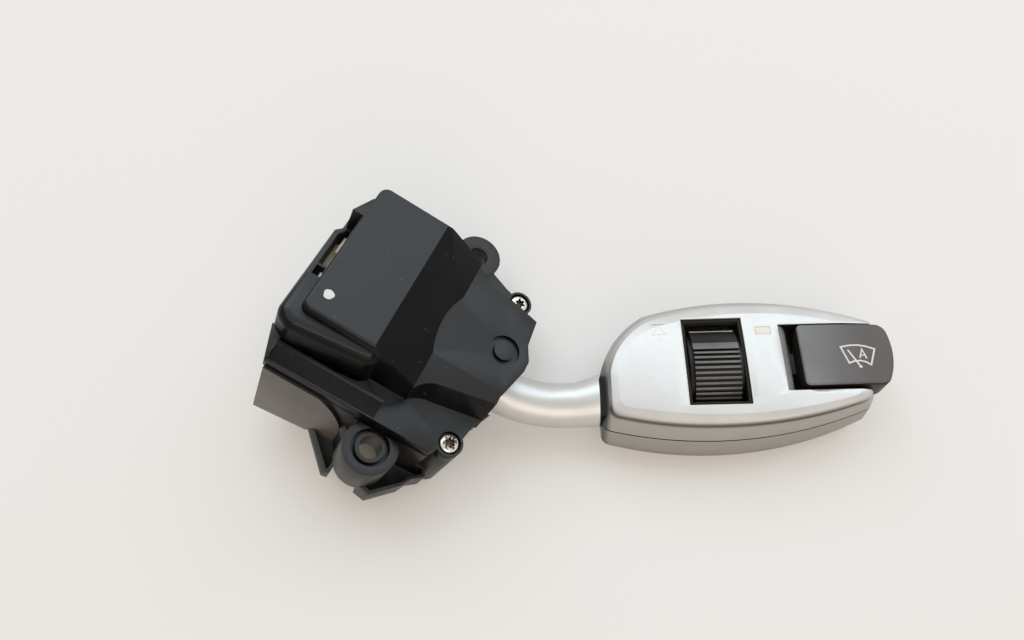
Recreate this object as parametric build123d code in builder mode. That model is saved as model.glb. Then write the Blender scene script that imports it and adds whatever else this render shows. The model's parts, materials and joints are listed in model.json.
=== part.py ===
"""Steering-column wiper stalk with its switch box, lying on a table.

Two drawing frames are used. HOUSING is square to the steering column: its z is the column axis, its x is
the way the lever leaves the box, and its origin is half way between the two mounting ears. GRIP is square
to the handle: its z is up from the table and its x runs along the handle. Both are set in one model frame,
+Z up from the table, with the origin half way between the mounting ears.
"""

import os
from math import cos, radians, sin, tan

from build123d import *

os.makedirs("parts", exist_ok=True)

# ---------------------------------------------------------------- lie of the two frames
COLUMN_AXIS = (0.413, -0.008, 0.911)
LEVER_DIRECTION = (0.830, -0.409, -0.380)
GRIP_ORIGIN = (80.5, -7.7, -20.6)
HOUSING = Plane(origin=(0, 0, 0), x_dir=LEVER_DIRECTION, z_dir=COLUMN_AXIS)
GRIP = Plane(origin=GRIP_ORIGIN, x_dir=(1, 0, 0), z_dir=(0, 0, 1))

# ---------------------------------------------------------------- clearances
RUNNING = 0.05  # radial, of a pin or slider in its bore or slot
SEAT = 0.10  # between pieces that are pushed or screwed together
LOOSE = 0.30  # round springs, stems and loose ends

# ---------------------------------------------------------------- mounting ears
EAR_SPAN = 64.0
EAR_HOLE_R = 2.75
NEAR_EAR_R = 6.9
FAR_EAR_R = 6.5
EAR_TOP = 0.0
EAR_BOTTOM = -7.0
COLLAR_DEPTH = 2.4
COLLAR_BORE_R = 4.7
BUSH_R = 3.8
EAR_WEB_INSET = 1.0
SKIRT_BOTTOM = -12.5
SKIRT_THICKNESS = 1.2
FAR_WEB_X = 11.5
FAR_WEB_Y = 27.5

# ---------------------------------------------------------------- switch box, column frame
WALL = 2.0
BOX_LEFT = -31.8
BOX_NEAR = -27.3
BOX_FAR = 23.0
BOX_RIGHT = 23.4
RIM_HEIGHT = 4.0
RIM_OVERHANG = 0.4
RIGHT_WALL_OUTLINE = [(12.5, BOX_NEAR), (18.4, -20.5), (19.5, -15.1), (22.0, -10.9), (BOX_RIGHT, -3.0),
                      (BOX_RIGHT, 3.0), (21.0, 10.0), (21.0, 18.0), (14.0, BOX_FAR)]
DOME_LEFT = -30.0
DOME_RIGHT = -11.3
DOME_NEAR = -18.6
DOME_FAR = 21.6
DOME_HEIGHT = 20.0
DOME_CORNER_R = 2.4
DOME_EDGE_R = 1.1
PLATEAU_LEFT = 1.2
PLATEAU_HEIGHT = 13.0
PLATEAU_OUTLINE = [(PLATEAU_LEFT, -8.5), (21.1, -8.7), (23.4, -0.3), (23.5, 2.9), (21.5, 7.0), (20.9, 14.5),
                   (12.5, 16.4), (5.6, 16.8), (PLATEAU_LEFT, 20.6)]
SLOPE_FOOT_BULGE = 1.9
SLOPE_FOOT_SPAN = 18.0
MOAT_X = 16.6
MOAT_Y = 2.3
MOAT_R = 4.0
MOAT_DEPTH = 1.2
MOAT_CAP_R = 2.75
FACET_BEND = [(PLATEAU_LEFT, -18.5), (2.9, -16.1), (6.8, -14.2)]
FACET_RIGHT = 20.8
FACET_RIGHT_NEAR = -11.5
FACET_DROP = 1.8
FACET_SPREAD = 2.6
FACET_CORNER_SPREAD = 1.0
SHOULDER_HEIGHT = 17.0
SHOULDER_LEFT = -34.4
SHOULDER_LEFT_NEAR = -20.4
SHOULDER_CORNER_X = -30.6
SHOULDER_NEAR = -22.9
SHOULDER_RIGHT_NEAR = -20.6
SHOULDER_FAR = -8.6
SHOULDER_RIGHT = -8.4
SHOULDER_CORNER_R = 3.6
SHOULDER_EDGE_R = 3.0
CURB_HEIGHT = 8.2
CURB_NEAR = -24.2
CURB_WIDTH = 1.0
CURB_RIGHT = -3.0
CURB_FOOT_NEAR = -26.9
CURB_LEFT = -32.0
CURB_RETURN = -30.9
LEDGE_HEIGHT = 13.0
LEDGE_OUTLINE = [(-33.9, 15.0), (-31.1, 21.2), (-29.5, 21.2), (-29.5, 15.0)]
TRAY_DEPTH = 12.8
NOSE_START = 12.0
NOSE_DEPTH = 9.2
BLOCK_NEAR = -28.0
WELL_RIGHT = -16.2
WELL_FAR = 9.0
WELL_DEPTH = 27.4
WELL_RIGHT_DEPTH = 24.4
BLOCK_RIGHT = -8.4
BLOCK_RIGHT_DEPTH = 12.6
BLOCK_SCOOP = (-11.0, -5.2)
GUSSET_OUTLINE = [(-16.5, -27.0), (-6.6, -36.9), (-5.0, -36.6), (-4.8, -31.0), (-8.0, -27.0)]
GUSSET_MOUTH = Plane(origin=(-16.2, -29.0, -24.4), z_dir=(-0.665, -0.617, 0.418))
GUSSET_BOTTOM = -23.4
GUSSET_WALL = 0.9
BRACKET_OUTLINE = [(2.0, -35.6), (2.6, -38.2), (5.9, -38.8), (12.1, -32.8), (13.4, -30.3), (16.2, -28.1),
                   (15.5, -25.5), (6.0, -26.0), (3.8, -31.5)]
BRACKET_TOP = -10.9
BRACKET_BOTTOM = -18.2

# ---------------------------------------------------------------- cover screws
SCREW_X = 16.0
SCREW_SPAN = 45.5
SCREW_R = 1.5
SCREW_HEAD_R = 2.6
SCREW_HEAD_HEIGHT = 1.8
SCREW_LENGTH = 11.0
SCREW_SEAT_HEIGHT = 2.4
SCREW_BOSS_R = 3.5
NEAR_BOSS_DEPTH = 18.4
FAR_BOSS_DEPTH = 9.6

# ---------------------------------------------------------------- plug
PLUG_LEFT = -36.0
PLUG_RIGHT = -24.0
PLUG_NEAR = -8.0
PLUG_FAR = 22.4
PLUG_STEP_LEFT = -34.6
PLUG_STEP_Y = 14.4
PLUG_CORNER = 1.6
PLUG_RIBS = [(1.2, 2.0), (14.6, 15.4)]
PLUG_TOP = 4.0
PLUG_BOTTOM = -18.0
PLUG_WALL = 1.6
HEADER_TOP = -1.6
HEADER_LUG_TOP = 2.4
HEADER_LUGS = [(-3.8, 0.6), (7.9, 13.1)]
HEADER_BOTTOM = -4.0
PIN_SIDE = 0.64
PIN_PITCH = 2.54
PIN_ROWS = 2
PIN_COLUMNS = 9
PIN_TIP = -11.0

# ---------------------------------------------------------------- lever root and carrier, column frame
PIVOT_X = 8.0
LEVER_Y = -1.5
EXIT_HALF_WIDTH = 9.5
EXIT_ABOVE = 8.6
EXIT_BELOW = 7.2
CARRIER_HALF_LENGTH = 7.0
CARRIER_HALF_WIDTH = 8.4
CARRIER_HALF_HEIGHT = 7.0
CARRIER_WALL = 2.6
CARRIER_SHELF = 1.6
CARRIER_TAIL_X = -3.0
CARRIER_PIN_R = 2.0
CARRIER_PIN_LENGTH = 3.4
CROSS_PIN_R = 1.5
ROOT_HALF_WIDTH = 5.3
ROOT_HALF_HEIGHT = 4.8
ROOT_HALF_LENGTH = 5.5
ROOT_SHAFT_R = 4.6
TAIL_R = 3.0
TAIL_END = -8.0
SKIRT_X = 18.0
SKIRT_END = 19.4
SKIRT_HALF_WIDTH = 5.6
NECK_R = 5.9
NECK_START = 19.4
SPIGOT_R = 3.4
SPIGOT_LENGTH = 6.0
WIRE_BORE_R = 1.9

# ---------------------------------------------------------------- detent and switches, column frame
PLUNGER_R = 1.5
PLUNGER_REACH = 19.5
PLUNGER_LENGTH = 9.0
PLUNGER_TRAVEL = 1.0
PLUNGER_NOSE = 1.1
CAM_LEFT = -17.0
CAM_RIGHT = -9.0
CAM_HALF_WIDTH = 8.5
CAM_HALF_HEIGHT = 6.5
DETENT_STEP = 6.0
DETENT_POSITIONS = (-1, 0, 1, 2)
DETENT_NOTCH_R = 0.7
BOARD_TOP = -9.2
BOARD_THICKNESS = 1.6
BOARD_LEFT = -15.5
BOARD_RIGHT = 3.2
BOARD_NEAR = -19.0
BOARD_FAR = 15.0
SLIDER_CENTRE = -1.0
SLIDER_HALF_LENGTH = 3.0
SLIDER_HALF_WIDTH = 6.5
SLIDER_HEIGHT = 1.9
DRIVE_PIN_R = 1.0
WASHER_SWITCH_X = -6.6
WASHER_SWITCH_LENGTH = 5.0
WASHER_SWITCH_WIDTH = 8.0
WASHER_SWITCH_HEIGHT = 2.8
WASHER_STEM_R = 1.0
WASHER_PAD_WIDTH = 13.0
WASHER_PAD_LENGTH = 2.6
WASHER_PAD_THICKNESS = 1.2
WASHER_TRAVEL = 1.65

# ---------------------------------------------------------------- neck, model frame
NECK_END_Y = -6.2
NECK_END_Z = 9.95
NECK_STRAIGHT = 1.4  # from the skirt to the bend
NECK_FLARE = 6.0
NECK_FLARE_RISE = 0.9
NECK_FLARE_SHIFT = 0.9
TENON_LENGTH = 3.2
TENON_HALF_WIDTH = 4.6
TONGUE_BOTTOM = 6.4
TONGUE_THICKNESS = 2.0
STRIP_WIDTH = 3.0
STRIP_THICKNESS = 0.3
STRIP_REACH = 10.0
COIL_STEPS = 8
DETENT_TURNS = 4

# ---------------------------------------------------------------- handle, handle frame
GRIP_LEFT = -36.5
GRIP_ROOT_NEAR = -15.6
GRIP_ROOT_FAR = 0.9
GRIP_CORNER_X = -32.4
GRIP_CORNER_Y = 10.4
GRIP_SHOULDER_X = -24.2
GRIP_SHOULDER_Y = 18.2
GRIP_BELLY_X = -6.0
GRIP_NEAR = -19.6
GRIP_BACK_X = 3.0
GRIP_FAR = 21.8
GRIP_TIP_FAR_X = 36.8
GRIP_TIP_FAR_Y = 14.6
GRIP_TIP_NEAR_X = 31.6
GRIP_TIP_NEAR_Y = -10.5
GRIP_TIP_BULGE_X = 36.0
GRIP_TOP = 19.0
GRIP_BOTTOM = 0.0
CREASE_HEIGHT = 17.2
PARTING_HEIGHT = 12.2
WAIST_HEIGHT = 6.5
SHELL_WALL = 1.8
CORNER_R = 2.6
# how far the near side, far side and ends are drawn in from the waist, at each height
OUTER_LEVELS = [(GRIP_BOTTOM, (6.2, 7.5, 5.0)), (0.9, (3.4, 4.6, 2.8)), (2.7, (1.3, 2.2, 1.2)),
                (WAIST_HEIGHT, (0.0, 0.0, 0.0)), (PARTING_HEIGHT, (2.1, 0.5, 0.3)),
                (CREASE_HEIGHT, (4.0, 3.0, 1.9)), (18.4, (4.9, 4.4, 2.7)), (GRIP_TOP, (6.9, 6.8, 4.6))]
ROOM_LEVELS = [(GRIP_BOTTOM + SHELL_WALL, (5.4, 6.6, 4.2)), (WAIST_HEIGHT, (1.8, 1.8, 1.8)),
               (PARTING_HEIGHT, (3.9, 2.3, 2.1)), (GRIP_TOP - SHELL_WALL, (6.4, 5.6, 4.0))]
# share of a side's draw-in that its two ends have
NEAR_ROOT_SHARE = 0.85
NEAR_TIP_SHARE = 0.3
FAR_ROOT_SHARE = 0.4
FAR_TIP_SHARE = 0.8
CORNER_X_SHARE = 0.7
SEAM_WIDTH = 0.3  # of the groove along the parting line
SEAM_DEPTH = 0.6

# ---------------------------------------------------------------- handle screws
SHELL_SCREW_PLACES = [(-30.6, 1.4), (-23.0, 11.6), (10.0, 13.8), (16.5, -10.0)]
SHELL_SCREW_R = 1.1
SHELL_SCREW_HEAD_R = 2.0
SHELL_SCREW_HEAD_HEIGHT = 1.5
SHELL_SCREW_SEAT = 4.2
BOSS_SPLIT = 10.4
SHELL_SCREW_TIP = 15.0
SHELL_BOSS_R = 2.3

# ---------------------------------------------------------------- thumbwheel, handle frame
WHEEL_SLOT_LEFT = -14.85
WHEEL_SLOT_RIGHT = 0.9
WHEEL_SLOT_NEAR = -10.3
WHEEL_SLOT_FAR = 13.8
WHEEL_R = 12.5
WHEEL_RIB_DEPTH = 0.8
WHEEL_Y = 1.7
WHEEL_Z = 8.3
WHEEL_WIDTH = 11.6
WHEEL_CHEEK = 0.9
WHEEL_CHEEK_DROP = 1.4
WHEEL_NEAR_ANGLE = 97.0
WHEEL_FAR_ANGLE = 57.0
WHEEL_RIB_START = 12.5
WHEEL_RIB_PITCH = 6.2
WHEEL_GROOVE_WIDTH = 0.68
WHEEL_RIB_COUNT = 17
WHEEL_HUB_R = 5.0
LEAF_THICKNESS = 0.4
LEAF_WIDTH = 6.0
LEAF_HALF_SPAN = 6.0
LEAF_FOOT = 2.0
LEAF_CREST = 1.0
AXLE_R = 1.5
AXLE_LEFT = -18.6
AXLE_RIGHT = 0.7
BEZEL_WALL = 0.8
BEZEL_FLANGE = 0.7
BEZEL_TOP = 18.5
BEZEL_FLANGE_THICKNESS = 1.2
BEZEL_EAR_BOTTOM = 5.4
BEZEL_EAR_HALF_WIDTH = 4.0

# ---------------------------------------------------------------- end button, handle frame
BUTTON_LEFT = 14.4
BUTTON_NEAR = -5.9
BUTTON_FAR = 10.8
BUTTON_CORNER_FAR_X = 36.6
BUTTON_CORNER_NEAR_X = 34.9
BUTTON_END = 37.8
BUTTON_TOP = 19.4
BUTTON_BOTTOM = 11.4
BUTTON_WALL = 1.5
BUTTON_TRAVEL = 2.0
BUTTON_TONGUE_LEFT = 10.6
BUTTON_TONGUE_HALF_WIDTH = 3.0
BUTTON_TONGUE_HEIGHT = 2.0
BUTTON_Y = 2.4
RECESS_LEFT = 9.9
RECESS_SLOPE_END = 12.2
RECESS_SLOPE_HEIGHT = 16.4
RECESS_NEAR = -7.0
RECESS_FAR = 11.3
SPRING_R = 1.9
SPRING_WIRE_R = 0.3
BUTTON_SPRING_LENGTH = 7.0
BUTTON_SPRING_TURNS = 6
GUIDE_TOP = 11.0
GUIDE_THICKNESS = 1.6
GUIDE_LEFT = 16.9
GUIDE_RIGHT = 29.8
GUIDE_RAIL_TOP = 17.0
GUIDE_BLOCK_RIGHT = 21.5
GUIDE_BLOCK_HALF_WIDTH = 3.4
GUIDE_POSTS = [(24.0, -1.5), (26.0, 6.5)]
BUTTON_CORNER_R = 1.2
BUTTON_TIP_R = 3.0
BUTTON_EDGE_R = 0.6
BUTTON_RIB_X = 27.0
BUTTON_RIB_HALF_WIDTH = 4.0
BUTTON_SPRING_Z = 14.2

# ---------------------------------------------------------------- handle electronics, handle frame
GRIP_BOARD_TOP = 9.5
GRIP_BOARD_THICKNESS = 1.2
KEY_SWITCH_LEFT = 2.8
KEY_SWITCH_RIGHT = 8.4
KEY_SWITCH_HEIGHT = 4.6
KEY_STEM_R = 1.0
KEY_STEM_LEFT = 6.0
LED_LENGTH = 2.6
LED_WIDTH = 1.4
LED_HEIGHT = 0.6
BOARD_POSTS = [(-24.0, -6.0), (5.0, -8.0)]
BOARD_POST_R = 1.6
GRIP_BOARD_OUTLINE = [(-27.4, -8.0), (-20.0, -13.0), (11.0, -13.0), (11.0, 10.4), (1.8, 10.4), (1.8, -11.4),
                      (-20.0, -11.4), (-20.0, 7.8), (-27.4, 7.8)]
KEY_STEM_Z = 12.4
ROTARY_LEFT = -19.4
ROTARY_RIGHT = -15.7
ROTARY_HALF = 4.2
LENS_X = 5.95
LENS_Y = 9.7
LENS_LENGTH = 3.9
LENS_WIDTH = 2.2


def write(builder, name, frame):
    """Set a finished piece in the model frame and save it as its own STEP file."""
    piece = frame.from_local_coords(builder.part)
    piece.label = name
    export_step(piece, f"parts/{name}.step")


def block(low, high, mode=Mode.ADD):
    """A box between two corners, in the open part."""
    centre = tuple((a + b) / 2 for a, b in zip(low, high))
    size = tuple(b - a for a, b in zip(low, high))
    with Locations(centre):
        Box(*size, mode=mode)


def post(x, y, low, high, radius, mode=Mode.ADD):
    """An upright cylinder, in the open part."""
    with Locations((x, y, (low + high) / 2)):
        Cylinder(radius, high - low, mode=mode)


def rod(x_low, x_high, y, z, radius, mode=Mode.ADD):
    """A cylinder along x, in the open part."""
    with Locations(Location(((x_low + x_high) / 2, y, z), (0, 90, 0))):
        Cylinder(radius, x_high - x_low, mode=mode)


def cross_rod(x, y_low, y_high, z, radius, mode=Mode.ADD):
    """A cylinder along y, in the open part."""
    with Locations(Location((x, (y_low + y_high) / 2, z), (90, 0, 0))):
        Cylinder(radius, y_high - y_low, mode=mode)


def prism(points, low, high, inset=0.0, mode=Mode.ADD):
    """An upright prism on a closed outline, drawn in by the inset, in the open part."""
    with BuildSketch(Plane.XY.offset(low)) as outline:
        with BuildLine():
            Polyline(*points, close=True)
        make_face()
        if inset:
            offset(amount=-inset, kind=Kind.INTERSECTION)
    extrude(outline.sketch, amount=high - low, mode=mode)


def side_prism(points, near, far, inset=0.0, mode=Mode.ADD):
    """A prism along y on an outline of (x, z) points, drawn in by the inset, in the open part."""
    with BuildSketch(Plane.XZ.offset(-far)) as outline:
        with BuildLine():
            Polyline(*points, close=True)
        make_face()
        if inset:
            offset(amount=-inset, kind=Kind.INTERSECTION)
    extrude(outline.sketch, amount=far - near, mode=mode)


def end_prism(points, left, right, mode=Mode.ADD):
    """A prism along x on an outline of (y, z) points, in the open part."""
    with BuildSketch(Plane.YZ.offset(left)) as outline:
        with BuildLine():
            Polyline(*points, close=True)
        make_face()
    extrude(outline.sketch, amount=right - left, mode=mode)


SCREW_PLACES = [(SCREW_X, -SCREW_SPAN / 2), (SCREW_X, SCREW_SPAN / 2)]
NEAR_EAR_Y = -EAR_SPAN / 2
FAR_EAR_Y = EAR_SPAN / 2
RIM_OUTLINE = [(BOX_LEFT, BOX_NEAR), *RIGHT_WALL_OUTLINE, (BOX_LEFT, BOX_FAR)]
PLUG_POCKET = [(SHOULDER_LEFT - WALL, PLUG_NEAR - SEAT), (PLUG_RIGHT + SEAT, PLUG_NEAR - SEAT),
               (PLUG_RIGHT + SEAT, BOX_FAR + WALL), (SHOULDER_LEFT - WALL, BOX_FAR + WALL)]


# ================================================================ switch box
PLATEAU_NEAR = PLATEAU_OUTLINE[0][1]


def facet_outline(height, spread, corner_spread):
    """Outline of the lower step beside the plateau at a height, set out from its brow by the spread."""
    corner, middle, bend_end = FACET_BEND
    near_right = (FACET_RIGHT, FACET_RIGHT_NEAR - spread)
    with BuildSketch(Plane.XY.offset(height)) as outline:
        with BuildLine():
            start = (corner[0], corner[1] - corner_spread)
            end = (bend_end[0], bend_end[1] - spread)
            ThreePointArc(start, (middle[0], middle[1] - (spread + corner_spread) / 2), end)
            Polyline(end, near_right, (FACET_RIGHT, 0), (PLATEAU_LEFT, 0), start)
        make_face()
    return outline.sketch


DOME_SECTION = [(BOX_LEFT, -WALL), (DOME_LEFT, DOME_HEIGHT), (DOME_RIGHT, DOME_HEIGHT),
                (PLATEAU_LEFT, PLATEAU_HEIGHT), (PLATEAU_LEFT, -WALL)]
with BuildPart() as dome:
    side_prism(DOME_SECTION, DOME_NEAR, DOME_FAR)
    fillet(dome.faces().sort_by(Axis.X)[0].edges().sort_by(Axis.Z)[1:3], DOME_CORNER_R)
    fillet(dome.faces().sort_by(Axis.Z)[-1].edges().sort_by(Axis.X)[:-1], DOME_EDGE_R)
    block((BOX_LEFT - WALL, DOME_NEAR - WALL, -2 * WALL), (PLATEAU_LEFT + WALL, DOME_FAR + WALL, 0),
          Mode.SUBTRACT)

with BuildPart() as facet:
    foot_outline = facet_outline(0, FACET_SPREAD, FACET_CORNER_SPREAD)
    brow_outline = facet_outline(PLATEAU_HEIGHT, 0, 0)
    loft([foot_outline, brow_outline], ruled=True)
    facet_near = FACET_BEND[0][1]
    end_prism([(PLATEAU_NEAR, PLATEAU_HEIGHT), (facet_near, PLATEAU_HEIGHT - FACET_DROP),
               (facet_near - WALL, PLATEAU_HEIGHT), (PLATEAU_NEAR, PLATEAU_HEIGHT + WALL)],
              PLATEAU_LEFT - WALL, BOX_RIGHT, Mode.SUBTRACT)

with BuildPart() as shoulder:
    with BuildSketch() as shoulder_outline:
        with BuildLine():
            Polyline((SHOULDER_LEFT, SHOULDER_FAR), (SHOULDER_LEFT, SHOULDER_LEFT_NEAR),
                     (SHOULDER_CORNER_X, SHOULDER_NEAR), (SHOULDER_RIGHT, SHOULDER_RIGHT_NEAR),
                     (SHOULDER_RIGHT, SHOULDER_FAR), close=True)
        make_face()
        fillet(shoulder_outline.vertices().sort_by(Axis.Y)[:3], SHOULDER_CORNER_R)
    extrude(shoulder_outline.sketch, amount=SHOULDER_HEIGHT)
    fillet(shoulder.faces().sort_by(Axis.Z)[-1].edges().sort_by(Axis.Y)[:-1], SHOULDER_EDGE_R)


def curb():
    """The low wall along the near side of the shoulder, with its return at the left end."""
    end_prism([(BOX_NEAR, 0), (CURB_FOOT_NEAR, RIM_HEIGHT), (CURB_NEAR, CURB_HEIGHT),
               (CURB_NEAR + CURB_WIDTH, CURB_HEIGHT), (CURB_NEAR + CURB_WIDTH, 0)], CURB_RETURN, CURB_RIGHT)
    prism([(SHOULDER_LEFT, SHOULDER_LEFT_NEAR), (CURB_LEFT, CURB_FOOT_NEAR), (CURB_RETURN, CURB_FOOT_NEAR),
           (CURB_RETURN, SHOULDER_LEFT_NEAR)], 0, CURB_HEIGHT)


def lever_opening(low, high):
    """The opening in the box's right wall that the lever leaves through."""
    block((NOSE_START, LEVER_Y - EXIT_HALF_WIDTH, low), (BOX_RIGHT + WALL, LEVER_Y + EXIT_HALF_WIDTH, high),
          Mode.SUBTRACT)


with BuildPart() as slope_foot:
    with BuildSketch(Plane.XY.offset(PLATEAU_HEIGHT)) as slope_foot_outline:
        with BuildLine():
            foot_near = (PLATEAU_LEFT, PLATEAU_NEAR)
            foot_middle = (PLATEAU_LEFT - SLOPE_FOOT_BULGE, PLATEAU_NEAR + SLOPE_FOOT_SPAN / 2)
            foot_far = (PLATEAU_LEFT, PLATEAU_NEAR + SLOPE_FOOT_SPAN)
            ThreePointArc(foot_near, foot_middle, foot_far)
            Line(foot_far, foot_near)
        make_face()
    extrude(slope_foot_outline.sketch, amount=WALL)

with BuildPart() as cover_room:
    prism(RIM_OUTLINE, 0, RIM_HEIGHT - WALL, WALL)
    side_prism(DOME_SECTION, DOME_NEAR + WALL, DOME_FAR - WALL, WALL)
    prism(PLATEAU_OUTLINE, 0, PLATEAU_HEIGHT - WALL, WALL)
    block((PLATEAU_LEFT - 2 * WALL, LEVER_Y - CARRIER_HALF_WIDTH - WALL, 0),
          (PLATEAU_LEFT + 2 * WALL, PLATEAU_NEAR + SLOPE_FOOT_SPAN, PLATEAU_HEIGHT - WALL))
    prism([*FACET_BEND, (FACET_RIGHT, FACET_RIGHT_NEAR), (FACET_RIGHT, 0), (PLATEAU_LEFT, 0)], 0,
          PLATEAU_HEIGHT - FACET_DROP - WALL, WALL)

with BuildPart() as top_cover:
    prism(RIM_OUTLINE, 0, RIM_HEIGHT)
    for x, y in SCREW_PLACES:
        post(x, y, 0, RIM_HEIGHT, SCREW_BOSS_R)
    prism(PLATEAU_OUTLINE, 0, PLATEAU_HEIGHT)
    add(dome.part)
    add(facet.part)
    add(shoulder.part)
    prism(LEDGE_OUTLINE, 0, LEDGE_HEIGHT)
    curb()
    add(slope_foot.part, mode=Mode.SUBTRACT)
    add(cover_room.part, mode=Mode.SUBTRACT)
    for x, y in SCREW_PLACES:
        post(x, y, 0, RIM_HEIGHT, SCREW_BOSS_R)
        post(x, y, SCREW_SEAT_HEIGHT, RIM_HEIGHT, SCREW_HEAD_R + LOOSE, Mode.SUBTRACT)
        post(x, y, 0, SCREW_SEAT_HEIGHT, SCREW_R + SEAT, Mode.SUBTRACT)
    post(MOAT_X, MOAT_Y, PLATEAU_HEIGHT - MOAT_DEPTH, PLATEAU_HEIGHT, MOAT_R, Mode.SUBTRACT)
    post(MOAT_X, MOAT_Y, PLATEAU_HEIGHT - MOAT_DEPTH, PLATEAU_HEIGHT, MOAT_CAP_R)
    post(PIVOT_X, LEVER_Y, CARRIER_HALF_HEIGHT + SEAT, PLATEAU_HEIGHT - WALL, 2 * CARRIER_PIN_R)
    post(PIVOT_X, LEVER_Y, CARRIER_HALF_HEIGHT + SEAT, CARRIER_HALF_HEIGHT + CARRIER_PIN_LENGTH + SEAT,
         CARRIER_PIN_R + RUNNING, Mode.SUBTRACT)
    lever_opening(0, EXIT_ABOVE)
    prism(PLUG_POCKET, 0, PLUG_TOP + SEAT, mode=Mode.SUBTRACT)
write(top_cover, "top_cover", HOUSING)


def tray_section(inset):
    """Side outline of the shallow tray, whose floor rises towards the lever's end."""
    return [(BOX_LEFT, 0), (BOX_LEFT, inset - TRAY_DEPTH), (NOSE_START, inset - TRAY_DEPTH),
            (BOX_RIGHT, inset - NOSE_DEPTH), (BOX_RIGHT, 0)]


with BuildPart() as tray_form:
    side_prism(tray_section(0), BOX_NEAR, BOX_FAR)
with BuildPart() as tray_room:
    side_prism(tray_section(WALL), BOX_NEAR, BOX_FAR)
with BuildPart() as tray_hollow:
    prism(RIM_OUTLINE, -TRAY_DEPTH, 0, RIM_OVERHANG + WALL)
    add(tray_room.part, mode=Mode.INTERSECT)

WELL_SECTION = [(BOX_LEFT + RIM_OVERHANG, -TRAY_DEPTH + 2 * WALL), (BOX_LEFT + RIM_OVERHANG, -WELL_DEPTH),
                (WELL_RIGHT, -WELL_RIGHT_DEPTH), (WELL_RIGHT, -TRAY_DEPTH + 2 * WALL)]
with BuildPart() as well:
    side_prism(WELL_SECTION, BLOCK_NEAR + WALL, WELL_FAR)
with BuildPart() as well_room:
    side_prism(WELL_SECTION, BLOCK_NEAR + 2 * WALL, WELL_FAR - WALL, WALL)

with BuildPart() as near_wall:
    with BuildSketch(Plane.XZ.offset(-BLOCK_NEAR - WALL)) as near_wall_outline:
        with BuildLine():
            scoop_top = (WELL_RIGHT, 0)
            scoop_foot = (BLOCK_RIGHT, -BLOCK_RIGHT_DEPTH)
            Polyline(scoop_top, (BOX_LEFT + RIM_OVERHANG, 0), (BOX_LEFT + RIM_OVERHANG, -WELL_DEPTH),
                     (WELL_RIGHT, -WELL_RIGHT_DEPTH), scoop_foot)
            ThreePointArc(scoop_foot, BLOCK_SCOOP, scoop_top)
        make_face()
    extrude(near_wall_outline.sketch, amount=WALL)

with BuildPart() as gusset:
    prism(GUSSET_OUTLINE, GUSSET_BOTTOM, EAR_BOTTOM)
    prism(GUSSET_OUTLINE, GUSSET_BOTTOM + GUSSET_WALL, EAR_BOTTOM, GUSSET_WALL, Mode.SUBTRACT)
    split(bisect_by=GUSSET_MOUTH, keep=Keep.BOTTOM)

with BuildPart() as bracket:
    prism(BRACKET_OUTLINE, BRACKET_BOTTOM, BRACKET_TOP)
    prism(BRACKET_OUTLINE, BRACKET_BOTTOM + GUSSET_WALL, BRACKET_TOP, GUSSET_WALL, Mode.SUBTRACT)

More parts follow.
